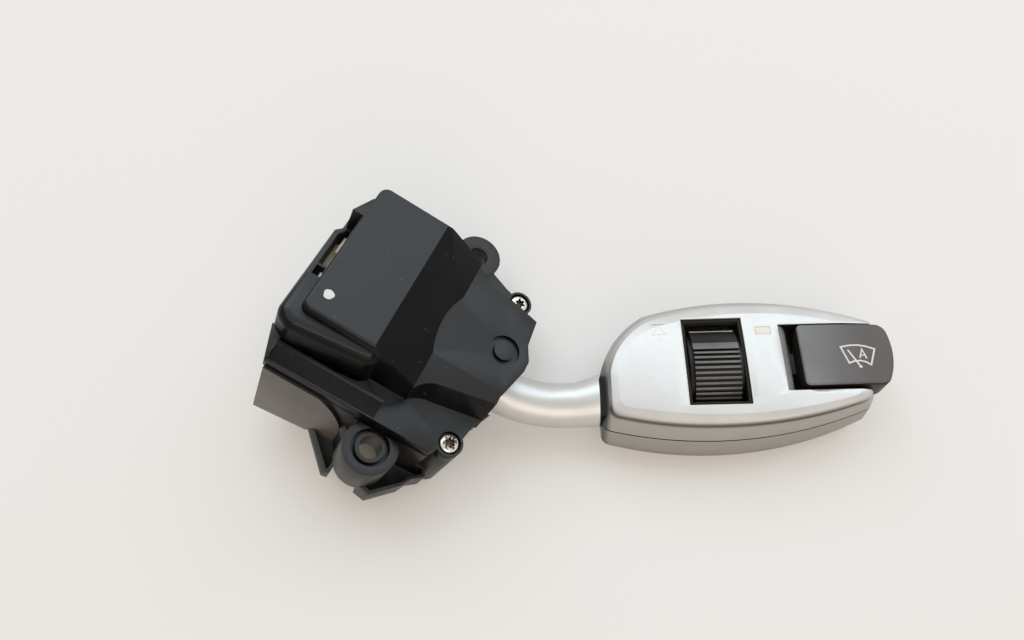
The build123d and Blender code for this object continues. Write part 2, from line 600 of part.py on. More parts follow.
with BuildPart() as base_housing:
    prism(RIM_OUTLINE, -TRAY_DEPTH, 0, RIM_OVERHANG)
    add(tray_form.part, mode=Mode.INTERSECT)
    add(well.part)
    add(tray_hollow.part, mode=Mode.SUBTRACT)
    add(well_room.part, mode=Mode.SUBTRACT)
    add(near_wall.part)
    # near mounting ear: a web to the box, the ear, a skirt below it and the two pockets that brace it
    block((EAR_WEB_INSET - NEAR_EAR_R, NEAR_EAR_Y, EAR_BOTTOM),
          (NEAR_EAR_R - EAR_WEB_INSET, BOX_NEAR + WALL, -COLLAR_DEPTH))
    post(0, NEAR_EAR_Y, EAR_BOTTOM, EAR_TOP, NEAR_EAR_R)
    post(0, NEAR_EAR_Y, SKIRT_BOTTOM, EAR_BOTTOM, NEAR_EAR_R)
    add(gusset.part)
    add(bracket.part)
    post(0, NEAR_EAR_Y, GUSSET_BOTTOM, EAR_BOTTOM, NEAR_EAR_R - SKIRT_THICKNESS, Mode.SUBTRACT)
    post(0, NEAR_EAR_Y, -COLLAR_DEPTH, EAR_TOP, COLLAR_BORE_R, Mode.SUBTRACT)
    block((-NEAR_EAR_R, BOX_NEAR - RIM_OVERHANG, -COLLAR_DEPTH), (NEAR_EAR_R, BOX_NEAR + NEAR_EAR_R, EAR_TOP),
          Mode.SUBTRACT)
    post(0, NEAR_EAR_Y, -COLLAR_DEPTH, EAR_TOP, BUSH_R)
    # far mounting ear and its web
    block((EAR_WEB_INSET - FAR_EAR_R, BOX_FAR - WALL, EAR_BOTTOM),
          (FAR_EAR_R - EAR_WEB_INSET, FAR_EAR_Y, -SEAT))
    web = [(FAR_EAR_R - EAR_WEB_INSET, BOX_FAR - WALL), (FAR_EAR_R - EAR_WEB_INSET, FAR_EAR_Y - WALL),
           (FAR_WEB_X, FAR_WEB_Y), (SCREW_X, SCREW_SPAN / 2 + SCREW_BOSS_R), (SCREW_X, BOX_FAR - WALL)]
    prism(web, EAR_BOTTOM, -SEAT)
    post(0, FAR_EAR_Y, EAR_BOTTOM, EAR_TOP, FAR_EAR_R)
    for y in (NEAR_EAR_Y, FAR_EAR_Y):
        post(0, y, EAR_BOTTOM, EAR_TOP, EAR_HOLE_R, Mode.SUBTRACT)
    add(tray_hollow.part, mode=Mode.SUBTRACT)
    for (x, y), depth in zip(SCREW_PLACES, (NEAR_BOSS_DEPTH, FAR_BOSS_DEPTH)):
        post(x, y, -depth, 0, SCREW_BOSS_R)
        post(x, y, SCREW_SEAT_HEIGHT - SCREW_LENGTH - LOOSE, 0, SCREW_R + RUNNING, Mode.SUBTRACT)
    post(PIVOT_X, LEVER_Y, -TRAY_DEPTH + WALL, -CARRIER_HALF_HEIGHT - SEAT, 2 * CARRIER_PIN_R)
    post(PIVOT_X, LEVER_Y, -CARRIER_HALF_HEIGHT - CARRIER_PIN_LENGTH - SEAT, 0, CARRIER_PIN_R + RUNNING,
         Mode.SUBTRACT)
    lever_opening(-EXIT_BELOW, 0)
    prism(PLUG_POCKET, -WELL_DEPTH, PLUG_TOP + SEAT, mode=Mode.SUBTRACT)
write(base_housing, "base_housing", HOUSING)


def screw(x, y, seat, length, radius, head_radius, head_height):
    """A pan-head screw, its head on the seat height and its shank downwards."""
    post(x, y, seat - length, seat, radius)
    post(x, y, seat, seat + head_height, head_radius)


with BuildPart() as cover_screws:
    for x, y in SCREW_PLACES:
        screw(x, y, SCREW_SEAT_HEIGHT, SCREW_LENGTH, SCREW_R, SCREW_HEAD_R, SCREW_HEAD_HEIGHT)
write(cover_screws, "cover_screws", HOUSING)

# ================================================================ plug
PLUG_OUTLINE = [(PLUG_LEFT, PLUG_NEAR), (PLUG_LEFT, PLUG_STEP_Y - PLUG_CORNER), (PLUG_STEP_LEFT, PLUG_STEP_Y),
                (PLUG_STEP_LEFT, PLUG_FAR - PLUG_CORNER), (PLUG_STEP_LEFT + PLUG_CORNER, PLUG_FAR),
                (PLUG_RIGHT, PLUG_FAR), (PLUG_RIGHT, PLUG_NEAR)]
with BuildPart() as connector_frame:
    prism(PLUG_OUTLINE, PLUG_BOTTOM, PLUG_TOP)
    prism(PLUG_OUTLINE, PLUG_BOTTOM, PLUG_TOP, PLUG_WALL, Mode.SUBTRACT)
    for near, far in PLUG_RIBS:
        block((PLUG_STEP_LEFT, near, HEADER_TOP + SEAT), (PLUG_RIGHT, far, PLUG_TOP))
write(connector_frame, "connector_frame", HOUSING)

with BuildPart() as connector_header:
    prism(PLUG_OUTLINE, HEADER_BOTTOM, HEADER_TOP, PLUG_WALL + SEAT)
    for near, far in HEADER_LUGS:
        block((PLUG_STEP_LEFT + PLUG_WALL + SEAT, near, HEADER_BOTTOM),
              (PLUG_RIGHT - PLUG_WALL - SEAT, far, HEADER_LUG_TOP))
    with Locations(((PLUG_LEFT + PLUG_RIGHT) / 2, (PLUG_NEAR + PLUG_FAR) / 2, HEADER_BOTTOM)):
        with GridLocations(PIN_PITCH, PIN_PITCH, PIN_ROWS, PIN_COLUMNS):
            Box(PIN_SIDE, PIN_SIDE, 2 * (HEADER_TOP - HEADER_BOTTOM), mode=Mode.SUBTRACT)
write(connector_header, "connector_header", HOUSING)

with BuildPart() as contact_pins:
    with Locations(((PLUG_LEFT + PLUG_RIGHT) / 2, (PLUG_NEAR + PLUG_FAR) / 2, (HEADER_TOP + PIN_TIP) / 2)):
        with GridLocations(PIN_PITCH, PIN_PITCH, PIN_ROWS, PIN_COLUMNS):
            Box(PIN_SIDE, PIN_SIDE, HEADER_TOP - PIN_TIP)
write(contact_pins, "contact_pins", HOUSING)

# ================================================================ circuit board and contacts
with BuildPart() as circuit_board:
    block((BOARD_LEFT, BOARD_NEAR, BOARD_TOP - BOARD_THICKNESS), (BOARD_RIGHT, BOARD_FAR, BOARD_TOP))
write(circuit_board, "circuit_board", HOUSING)

with BuildPart() as contact_slider:
    block((SLIDER_CENTRE - SLIDER_HALF_LENGTH, LEVER_Y - SLIDER_HALF_WIDTH, BOARD_TOP + RUNNING),
          (SLIDER_CENTRE + SLIDER_HALF_LENGTH, LEVER_Y + SLIDER_HALF_WIDTH, BOARD_TOP + SLIDER_HEIGHT))
    block((SLIDER_CENTRE - SLIDER_HALF_LENGTH / 2, LEVER_Y - DRIVE_PIN_R - RUNNING, BOARD_TOP),
          (SLIDER_CENTRE + SLIDER_HALF_LENGTH / 2, LEVER_Y + DRIVE_PIN_R + RUNNING, 0), Mode.SUBTRACT)
write(contact_slider, "contact_slider", HOUSING)

# ================================================================ carrier and lever root
CARRIER_TOP_Y = CARRIER_HALF_WIDTH - CARRIER_WALL
with BuildPart() as swing_carrier:
    block((PIVOT_X - CARRIER_HALF_LENGTH, LEVER_Y - CARRIER_HALF_WIDTH, -CARRIER_HALF_HEIGHT),
          (PIVOT_X + CARRIER_HALF_LENGTH, LEVER_Y + CARRIER_HALF_WIDTH, CARRIER_HALF_HEIGHT))
    block((CARRIER_TAIL_X, LEVER_Y - 2 * DRIVE_PIN_R, -CARRIER_HALF_HEIGHT),
          (PIVOT_X, LEVER_Y + 2 * DRIVE_PIN_R, -CARRIER_HALF_HEIGHT + CARRIER_SHELF))
    block((PIVOT_X - 2 * CARRIER_HALF_LENGTH, LEVER_Y - CARRIER_TOP_Y, -CARRIER_HALF_HEIGHT + CARRIER_SHELF),
          (PIVOT_X + 2 * CARRIER_HALF_LENGTH, LEVER_Y + CARRIER_TOP_Y, CARRIER_HALF_HEIGHT - CARRIER_SHELF),
          Mode.SUBTRACT)
    post(PIVOT_X, LEVER_Y, CARRIER_HALF_HEIGHT, CARRIER_HALF_HEIGHT + CARRIER_PIN_LENGTH, CARRIER_PIN_R)
    post(PIVOT_X, LEVER_Y, -CARRIER_HALF_HEIGHT - CARRIER_PIN_LENGTH, -CARRIER_HALF_HEIGHT, CARRIER_PIN_R)
    post(SLIDER_CENTRE, LEVER_Y, BOARD_TOP + 2 * SEAT, -CARRIER_HALF_HEIGHT, DRIVE_PIN_R)
    cross_rod(PIVOT_X, LEVER_Y - 2 * CARRIER_HALF_WIDTH, LEVER_Y + 2 * CARRIER_HALF_WIDTH, 0,
              CROSS_PIN_R + RUNNING, Mode.SUBTRACT)
write(swing_carrier, "swing_carrier", HOUSING)

with BuildPart() as cross_pin:
    cross_rod(PIVOT_X, LEVER_Y - CARRIER_HALF_WIDTH, LEVER_Y + CARRIER_HALF_WIDTH, 0, CROSS_PIN_R)
write(cross_pin, "cross_pin", HOUSING)

with BuildPart() as lever_root:
    block((PIVOT_X - ROOT_HALF_LENGTH, LEVER_Y - ROOT_HALF_WIDTH, -ROOT_HALF_HEIGHT),
          (PIVOT_X + ROOT_HALF_LENGTH, LEVER_Y + ROOT_HALF_WIDTH, ROOT_HALF_HEIGHT))
    rod(PIVOT_X, SKIRT_END, LEVER_Y, 0, ROOT_SHAFT_R)
    rod(SKIRT_X, SKIRT_END, LEVER_Y, 0, SKIRT_HALF_WIDTH)
    rod(TAIL_END, PIVOT_X, LEVER_Y, 0, TAIL_R)
    rod(TAIL_END, TAIL_END + PLUNGER_LENGTH, LEVER_Y, 0, PLUNGER_R + RUNNING, Mode.SUBTRACT)
    rod(SKIRT_END - SPIGOT_LENGTH - LOOSE, SKIRT_END, LEVER_Y, 0, SPIGOT_R + RUNNING, Mode.SUBTRACT)
    cross_rod(PIVOT_X, LEVER_Y - 2 * ROOT_HALF_WIDTH, LEVER_Y + 2 * ROOT_HALF_WIDTH, 0,
              CROSS_PIN_R + RUNNING, Mode.SUBTRACT)
write(lever_root, "lever_root", HOUSING)

# ================================================================ detent
PLUNGER_TIP_X = PIVOT_X - PLUNGER_REACH
with BuildPart() as detent_plunger:
    with BuildSketch(Plane.XZ.offset(-LEVER_Y)) as plunger_half:
        with BuildLine():
            Polyline((PLUNGER_TIP_X, 0), (PLUNGER_TIP_X, PLUNGER_R - PLUNGER_NOSE),
                     (PLUNGER_TIP_X + PLUNGER_NOSE, PLUNGER_R), (TAIL_END + PLUNGER_LENGTH / 2, PLUNGER_R),
                     (TAIL_END + PLUNGER_LENGTH / 2, 0), close=True)
        make_face()
    revolve(plunger_half.sketch, axis=Axis((0, LEVER_Y, 0), (1, 0, 0)))
write(detent_plunger, "detent_plunger", HOUSING)

with BuildPart() as detent_cam:
    block((CAM_LEFT, LEVER_Y - CAM_HALF_WIDTH, -CAM_HALF_HEIGHT),
          (CAM_RIGHT, LEVER_Y + CAM_HALF_WIDTH, CAM_HALF_HEIGHT))
    block((CAM_LEFT, LEVER_Y - CAM_HALF_WIDTH, -TRAY_DEPTH + WALL),
          (BOARD_LEFT - SEAT, LEVER_Y + CAM_HALF_WIDTH, CAM_HALF_HEIGHT))
    post(PIVOT_X, LEVER_Y, -CAM_HALF_HEIGHT, CAM_HALF_HEIGHT, PLUNGER_REACH + RUNNING, Mode.SUBTRACT)
    for position in DETENT_POSITIONS:
        swing = radians(position * DETENT_STEP)
        post(PIVOT_X - PLUNGER_REACH * cos(swing), LEVER_Y - PLUNGER_REACH * sin(swing), -CAM_HALF_HEIGHT,
             CAM_HALF_HEIGHT, DETENT_NOTCH_R, Mode.SUBTRACT)
write(detent_cam, "detent_cam", HOUSING)


def coil_spring(length, turns, radius, wire):
    """A coil of square wire along z from 0, in the open part."""
    steps = COIL_STEPS * turns
    rise = length - 2 * wire
    path = [(radius * cos(radians(360 * turns * i / steps)), radius * sin(radians(360 * turns * i / steps)),
             wire + rise * i / steps) for i in range(steps + 1)]
    with BuildLine() as centre_line:
        Polyline(*path)
    start = Plane(origin=path[0], z_dir=centre_line.line % 0)
    with BuildSketch(start) as section:
        Rectangle(2 * wire, 2 * wire)
    sweep(section.sketch, path=centre_line.line, transition=Transition.RIGHT)


DETENT_SPRING_LEFT = TAIL_END + PLUNGER_LENGTH / 2
with BuildPart() as detent_spring_coil:
    coil_spring(PLUNGER_LENGTH / 2 - PLUNGER_TRAVEL, DETENT_TURNS, PLUNGER_R - 2 * SPRING_WIRE_R,
                SPRING_WIRE_R)
with BuildPart() as detent_spring:
    with Locations(Location((DETENT_SPRING_LEFT, LEVER_Y, 0), (0, 90, 0))):
        add(detent_spring_coil.part)
write(detent_spring, "detent_spring", HOUSING)

# ================================================================ washer switch
PAD_TOP = -TAIL_R - LOOSE / 2
PAD_BOTTOM = PAD_TOP - WASHER_PAD_THICKNESS
SWITCH_TOP = BOARD_TOP + WASHER_SWITCH_HEIGHT
STEM_BOTTOM = BOARD_TOP + WASHER_TRAVEL + 2 * SEAT
with BuildPart() as washer_switch:
    block((WASHER_SWITCH_X - WASHER_SWITCH_LENGTH / 2, LEVER_Y - WASHER_SWITCH_WIDTH / 2, BOARD_TOP),
          (WASHER_SWITCH_X + WASHER_SWITCH_LENGTH / 2, LEVER_Y + WASHER_SWITCH_WIDTH / 2, SWITCH_TOP))
    post(WASHER_SWITCH_X, LEVER_Y, BOARD_TOP + SEAT, SWITCH_TOP, WASHER_STEM_R + RUNNING, Mode.SUBTRACT)
write(washer_switch, "washer_switch", HOUSING)

with BuildPart() as washer_plunger:
    block((WASHER_SWITCH_X - WASHER_PAD_LENGTH / 2, LEVER_Y - WASHER_PAD_WIDTH / 2, PAD_BOTTOM),
          (WASHER_SWITCH_X + WASHER_PAD_LENGTH / 2, LEVER_Y + WASHER_PAD_WIDTH / 2, PAD_TOP))
    post(WASHER_SWITCH_X, LEVER_Y, STEM_BOTTOM, PAD_BOTTOM, WASHER_STEM_R)
write(washer_plunger, "washer_plunger", HOUSING)

# ================================================================ neck
NECK_END = GRIP.from_local_coords(Vector(GRIP_LEFT - LOOSE, NECK_END_Y, NECK_END_Z))
NECK_ROOT = HOUSING.from_local_coords(Vector(NECK_START, LEVER_Y, 0))
ROOT_WAY = HOUSING.x_dir
BEND_REACH = (NECK_ROOT.Y - NECK_END.Y) / -ROOT_WAY.Y
NECK_CORNER = NECK_ROOT + ROOT_WAY * BEND_REACH
HANDLE_WAY = (NECK_END - NECK_CORNER).normalized()
BEND_ANGLE = ROOT_WAY.get_angle(HANDLE_WAY)
BEND_SETBACK = BEND_REACH - NECK_STRAIGHT
BEND_R = BEND_SETBACK / tan(radians(BEND_ANGLE / 2))
BEND_START = NECK_CORNER - ROOT_WAY * BEND_SETBACK
BEND_END = NECK_CORNER + HANDLE_WAY * BEND_SETBACK
BEND_INWARD = (HANDLE_WAY - ROOT_WAY * ROOT_WAY.dot(HANDLE_WAY)).normalized()
BEND_AXIS = Axis(BEND_START + BEND_INWARD * BEND_R, ROOT_WAY.cross(BEND_INWARD))
WIRE_START = HOUSING.from_local_coords(Vector(NECK_START - SPIGOT_LENGTH, LEVER_Y, 0))
WIRE_END = NECK_END + HANDLE_WAY * 2 * TENON_LENGTH
TONGUE_X, TONGUE_Y = SHELL_SCREW_PLACES[0]
TONGUE_TOP = TONGUE_BOTTOM + TONGUE_THICKNESS


def neck_bar(start, end, radius, mode=Mode.ADD):
    """A round bar along the neck's centre line: out of the box, round one bend and into the handle."""
    with BuildSketch(Plane(origin=start, z_dir=ROOT_WAY)) as first:
        Circle(radius)
    extrude(first.sketch, amount=(BEND_START - start).length, mode=mode)
    with BuildSketch(Plane(origin=BEND_START, z_dir=ROOT_WAY)) as middle:
        Circle(radius)
    revolve(middle.sketch, axis=BEND_AXIS, revolution_arc=BEND_ANGLE, mode=mode)
    with BuildSketch(Plane(origin=BEND_END, z_dir=HANDLE_WAY)) as last:
        Circle(radius)
    extrude(last.sketch, amount=(end - BEND_END).length, mode=mode)


with BuildPart() as lever_neck:
    neck_bar(NECK_ROOT, NECK_END, NECK_R)
    flare_start = NECK_END - HANDLE_WAY * NECK_FLARE
    with BuildSketch(Plane(origin=flare_start, x_dir=(0, 1, 0), z_dir=HANDLE_WAY)) as slim:
        Circle(NECK_R)
    flare_end = NECK_END + Vector(0, NECK_FLARE_SHIFT, 0)
    with BuildSketch(Plane(origin=flare_end, x_dir=(0, 1, 0), z_dir=(1, 0, 0))) as wide:
        Circle(NECK_R + NECK_FLARE_RISE)
    loft([slim.sketch, wide.sketch], ruled=True)
    with BuildSketch(Plane(origin=NECK_ROOT, z_dir=ROOT_WAY)) as spigot:
        Circle(SPIGOT_R)
    extrude(spigot.sketch, amount=-SPIGOT_LENGTH)
    # tenon clamped between the handle's shells, with a tongue for a screw
    tenon_low = GRIP.from_local_coords(Vector(GRIP_LEFT - LOOSE, NECK_END_Y - TENON_HALF_WIDTH,
                                              NECK_END_Z - TENON_HALF_WIDTH))
    tenon_high = GRIP.from_local_coords(Vector(GRIP_LEFT + TENON_LENGTH, NECK_END_Y + TENON_HALF_WIDTH,
                                               NECK_END_Z + TENON_HALF_WIDTH))
    block(tuple(tenon_low), tuple(tenon_high))
    tongue_low = GRIP.from_local_coords(Vector(GRIP_LEFT + TENON_LENGTH, NECK_END_Y, TONGUE_BOTTOM))
    tongue_high = GRIP.from_local_coords(Vector(TONGUE_X + SHELL_BOSS_R, TONGUE_Y + SHELL_BOSS_R, TONGUE_TOP))
    block(tuple(tongue_low), tuple(tongue_high))
    hole = GRIP.from_local_coords(Vector(TONGUE_X, TONGUE_Y, 0))
    post(hole.X, hole.Y, tongue_low.Z, tongue_high.Z, SHELL_SCREW_R + SEAT, Mode.SUBTRACT)
    neck_bar(WIRE_START, WIRE_END, WIRE_BORE_R, Mode.SUBTRACT)
write(lever_neck, "lever_neck", Plane.XY)

STRIP_START = WIRE_START + ROOT_WAY * SEAT
with BuildPart() as lead_strip:
    with BuildLine() as strip_line:
        FilletPolyline(STRIP_START, NECK_CORNER, NECK_END + HANDLE_WAY * STRIP_REACH, radius=BEND_R)
    with BuildSketch(Plane(origin=STRIP_START, x_dir=HOUSING.y_dir, z_dir=ROOT_WAY)) as strip:
        Rectangle(STRIP_WIDTH, STRIP_THICKNESS)
    sweep(strip.sketch, path=strip_line.line)
write(lead_strip, "lead_strip", Plane.XY)

# ================================================================ handle shells
def grip_section(height, near, far, end):
    """The handle's outline at a height, each side drawn in by its own amount."""
    left = GRIP_LEFT + end
    root_near = (left, GRIP_ROOT_NEAR + NEAR_ROOT_SHARE * near)
    root_far = (left, GRIP_ROOT_FAR - FAR_ROOT_SHARE * far)
    corner = (GRIP_CORNER_X + CORNER_X_SHARE * end, GRIP_CORNER_Y - CORNER_X_SHARE * far)
    shoulder_point = (GRIP_SHOULDER_X + end / 2, GRIP_SHOULDER_Y - far)
    tip_far = (GRIP_TIP_FAR_X - end, GRIP_TIP_FAR_Y - FAR_TIP_SHARE * far)
    tip_near = (GRIP_TIP_NEAR_X - end, GRIP_TIP_NEAR_Y + NEAR_TIP_SHARE * near)
    with BuildSketch(Plane.XY.offset(height)) as section:
        with BuildLine():
            Line(root_near, root_far)
            ThreePointArc(root_far, corner, shoulder_point)
            ThreePointArc(shoulder_point, (GRIP_BACK_X, GRIP_FAR - far), tip_far)
            ThreePointArc(tip_far, (GRIP_TIP_BULGE_X - end, 0), tip_near)
            ThreePointArc(tip_near, (GRIP_BELLY_X, GRIP_NEAR + near), root_near)
        make_face()
        fillet(section.vertices(), CORNER_R)
    return section.sketch


def grip_form(levels):
    """A form of the handle, built up level by level."""
    loft([grip_section(height, *inset) for height, inset in levels], ruled=True)


def neck_socket():
    """The hole in the handle's left end for the neck's tenon, with room for its tongue."""
    reach = TENON_HALF_WIDTH + SEAT
    block((GRIP_LEFT - WALL, NECK_END_Y - reach, NECK_END_Z - reach),
          (GRIP_LEFT + TENON_LENGTH + SEAT, NECK_END_Y + reach, NECK_END_Z + reach), Mode.SUBTRACT)
    block((GRIP_LEFT + TENON_LENGTH - SEAT, NECK_END_Y - SEAT, TONGUE_BOTTOM - RUNNING),
          (TONGUE_X + SHELL_BOSS_R + SEAT, TONGUE_Y + SHELL_BOSS_R + SEAT, TONGUE_TOP + RUNNING),
          Mode.SUBTRACT)


def button_opening():
    """The opening that the end button slides in."""
    block((RECESS_SLOPE_END, RECESS_NEAR, BUTTON_BOTTOM - LOOSE),
          (BUTTON_END + WALL, RECESS_FAR, BUTTON_TOP + WALL), Mode.SUBTRACT)


with BuildPart() as grip_outer:
    grip_form(OUTER_LEVELS)
with BuildPart() as grip_room:
    grip_form(ROOM_LEVELS)

with BuildPart() as grip_top_shell:
    add(grip_outer.part)
    add(grip_room.part, mode=Mode.SUBTRACT)
    block((GRIP_LEFT - WALL, GRIP_NEAR - WALL, -WALL), (BUTTON_END + WALL, GRIP_FAR + WALL, PARTING_HEIGHT),
          Mode.SUBTRACT)
    for x, y in SHELL_SCREW_PLACES[1:]:
        post(x, y, BOSS_SPLIT, GRIP_TOP - SHELL_WALL, SHELL_BOSS_R)
    post(TONGUE_X, TONGUE_Y, TONGUE_TOP, GRIP_TOP - SHELL_WALL, SHELL_BOSS_R)
    for x, y in SHELL_SCREW_PLACES:
        post(x, y, 0, SHELL_SCREW_TIP + LOOSE, SHELL_SCREW_R + RUNNING, Mode.SUBTRACT)
    block((RECESS_LEFT - SHELL_WALL, RECESS_NEAR, RECESS_SLOPE_HEIGHT - SHELL_WALL),
          (RECESS_SLOPE_END, RECESS_FAR, GRIP_TOP - SHELL_WALL))
    slope = [(RECESS_LEFT, GRIP_TOP), (RECESS_SLOPE_END, RECESS_SLOPE_HEIGHT),
             (RECESS_SLOPE_END, GRIP_TOP + WALL), (RECESS_LEFT, GRIP_TOP + WALL)]
    side_prism(slope, RECESS_NEAR, RECESS_FAR, mode=Mode.SUBTRACT)
    button_opening()
    block((WHEEL_SLOT_LEFT, WHEEL_SLOT_NEAR, PARTING_HEIGHT),
          (WHEEL_SLOT_RIGHT, WHEEL_SLOT_FAR, GRIP_TOP + WALL), Mode.SUBTRACT)
    block((LENS_X - LENS_LENGTH / 2 - RUNNING, LENS_Y - LENS_WIDTH / 2 - RUNNING, PARTING_HEIGHT),
          (LENS_X + LENS_LENGTH / 2 + RUNNING, LENS_Y + LENS_WIDTH / 2 + RUNNING, GRIP_TOP + WALL),
          Mode.SUBTRACT)
    neck_socket()
write(grip_top_shell, "grip_top_shell", GRIP)

PARTING_INSET = dict(OUTER_LEVELS)[PARTING_HEIGHT]
with BuildPart() as seam_groove:
    seam_height = PARTING_HEIGHT - SEAM_WIDTH
    extrude(grip_section(seam_height, -WALL, -WALL, -WALL), amount=SEAM_WIDTH)
    inner = [inset + SEAM_DEPTH for inset in PARTING_INSET]
    extrude(grip_section(seam_height, *inner), amount=SEAM_WIDTH, mode=Mode.SUBTRACT)

with BuildPart() as grip_lower_shell:
    add(grip_outer.part)
    add(grip_room.part, mode=Mode.SUBTRACT)
    block((GRIP_LEFT - WALL, GRIP_NEAR - WALL, PARTING_HEIGHT),
          (BUTTON_END + WALL, GRIP_FAR + WALL, GRIP_TOP + WALL), Mode.SUBTRACT)
    floor = GRIP_BOTTOM + SHELL_WALL / 2
    for x, y in SHELL_SCREW_PLACES[1:]:
        post(x, y, floor, BOSS_SPLIT, SHELL_SCREW_HEAD_R + SHELL_WALL / 2)
    post(TONGUE_X, TONGUE_Y, floor, TONGUE_BOTTOM, SHELL_SCREW_HEAD_R + SHELL_WALL / 2)
    for x, y in BOARD_POSTS:
        post(x, y, floor, GRIP_BOARD_TOP - GRIP_BOARD_THICKNESS, BOARD_POST_R)
    for x, y in GUIDE_POSTS:
        post(x, y, floor, GUIDE_TOP - GUIDE_THICKNESS, BOARD_POST_R)
    add(grip_outer.part, mode=Mode.INTERSECT)
    for x, y in SHELL_SCREW_PLACES:
        post(x, y, -WALL, SHELL_SCREW_SEAT, SHELL_SCREW_HEAD_R + SEAT, Mode.SUBTRACT)
        post(x, y, -WALL, PARTING_HEIGHT, SHELL_SCREW_R + SEAT, Mode.SUBTRACT)
    add(seam_groove.part, mode=Mode.SUBTRACT)
    button_opening()
    neck_socket()
write(grip_lower_shell, "grip_lower_shell", GRIP)

with BuildPart() as shell_screws:
    for x, y in SHELL_SCREW_PLACES:
        post(x, y, SHELL_SCREW_SEAT, SHELL_SCREW_TIP, SHELL_SCREW_R)
        post(x, y, SHELL_SCREW_SEAT - SHELL_SCREW_HEAD_HEIGHT, SHELL_SCREW_SEAT, SHELL_SCREW_HEAD_R)
write(shell_screws, "shell_screws", GRIP)

# ================================================================ thumbwheel
WHEEL_X = (WHEEL_SLOT_LEFT + WHEEL_SLOT_RIGHT) / 2
with BuildPart() as wheel_bezel:
    flange_low = GRIP_TOP - SHELL_WALL - BEZEL_FLANGE_THICKNESS
    block((WHEEL_SLOT_LEFT - BEZEL_FLANGE, WHEEL_SLOT_NEAR - BEZEL_FLANGE, flange_low),
          (WHEEL_SLOT_RIGHT + BEZEL_FLANGE, WHEEL_SLOT_FAR - SEAT, GRIP_TOP - SHELL_WALL))
    block((WHEEL_SLOT_LEFT + SEAT, WHEEL_SLOT_NEAR + SEAT, flange_low),
          (WHEEL_SLOT_RIGHT - SEAT, WHEEL_SLOT_FAR - SEAT, BEZEL_TOP))
    block((WHEEL_SLOT_LEFT + SEAT, WHEEL_Y - BEZEL_EAR_HALF_WIDTH, BEZEL_EAR_BOTTOM),
          (WHEEL_SLOT_RIGHT - SEAT, WHEEL_Y + BEZEL_EAR_HALF_WIDTH, BEZEL_TOP))
    inside = SEAT + BEZEL_WALL
    block((WHEEL_SLOT_LEFT + inside, WHEEL_SLOT_NEAR + inside, 0),
          (WHEEL_SLOT_RIGHT - inside, WHEEL_SLOT_FAR - inside, GRIP_TOP + WALL), Mode.SUBTRACT)
    rod(WHEEL_SLOT_LEFT - WALL, WHEEL_SLOT_RIGHT + WALL, WHEEL_Y, WHEEL_Z, AXLE_R + RUNNING, Mode.SUBTRACT)
write(wheel_bezel, "wheel_bezel", GRIP)


def wheel_point(radius, angle):
    """A point of the wheel's end view; the angle is from straight up, towards the far side."""
    return WHEEL_Y + radius * sin(radians(angle)), WHEEL_Z + radius * cos(radians(angle))


def wheel_sector(left, right, radius):
    """A slice of the wheel that spans its working arc, in the open part."""
    middle = (WHEEL_FAR_ANGLE - WHEEL_NEAR_ANGLE) / 2
    with BuildSketch(Plane.YZ.offset(left)) as sector:
        with BuildLine():
            Line(wheel_point(0, 0), wheel_point(radius, -WHEEL_NEAR_ANGLE))
            ThreePointArc(wheel_point(radius, -WHEEL_NEAR_ANGLE), wheel_point(radius, middle),
                          wheel_point(radius, WHEEL_FAR_ANGLE))
            Line(wheel_point(radius, WHEEL_FAR_ANGLE), wheel_point(0, 0))
        make_face()
    extrude(sector.sketch, amount=right - left)


with BuildPart() as thumbwheel:
    core_left, core_right = WHEEL_X - WHEEL_WIDTH / 2, WHEEL_X + WHEEL_WIDTH / 2
    wheel_sector(core_left - WHEEL_CHEEK, core_right + WHEEL_CHEEK, WHEEL_R - WHEEL_CHEEK_DROP)
    wheel_sector(core_left, core_right, WHEEL_R)
    for i in range(WHEEL_RIB_COUNT):
        groove_angle = WHEEL_RIB_START - WHEEL_RIB_PITCH * (i + 0.5)
        y, z = wheel_point(WHEEL_R, groove_angle)
        with Locations(Location((WHEEL_X, y, z), (-groove_angle, 0, 0))):
            Box(WHEEL_WIDTH + WHEEL_CHEEK, WHEEL_GROOVE_WIDTH, 2 * WHEEL_RIB_DEPTH, mode=Mode.SUBTRACT)
    rod(core_left - WHEEL_CHEEK, core_right + WHEEL_CHEEK, WHEEL_Y, WHEEL_Z, WHEEL_HUB_R)
    rod(core_left - WALL, core_right + WALL, WHEEL_Y, WHEEL_Z, AXLE_R + RUNNING, Mode.SUBTRACT)
write(thumbwheel, "thumbwheel", GRIP)

with BuildPart() as wheel_axle:
    rod(AXLE_LEFT, AXLE_RIGHT, WHEEL_Y, WHEEL_Z, AXLE_R)
write(wheel_axle, "wheel_axle", GRIP)

with BuildPart() as wheel_detent_spring:
    hub_bottom = WHEEL_Z - WHEEL_HUB_R - SEAT
    floor = GRIP_BOTTOM + SHELL_WALL
    foot = LEAF_HALF_SPAN + LEAF_FOOT
    under = [(-foot, floor), (-LEAF_HALF_SPAN, floor), (-LEAF_CREST, hub_bottom - LEAF_THICKNESS),
             (LEAF_CREST, hub_bottom - LEAF_THICKNESS), (LEAF_HALF_SPAN, floor), (foot, floor)]
    leaf = [(WHEEL_Y + y, z) for y, z in under]
    leaf += [(WHEEL_Y + y, z + LEAF_THICKNESS) for y, z in reversed(under)]
    end_prism(leaf, WHEEL_X - LEAF_WIDTH / 2, WHEEL_X + LEAF_WIDTH / 2)
write(wheel_detent_spring, "wheel_detent_spring", GRIP)

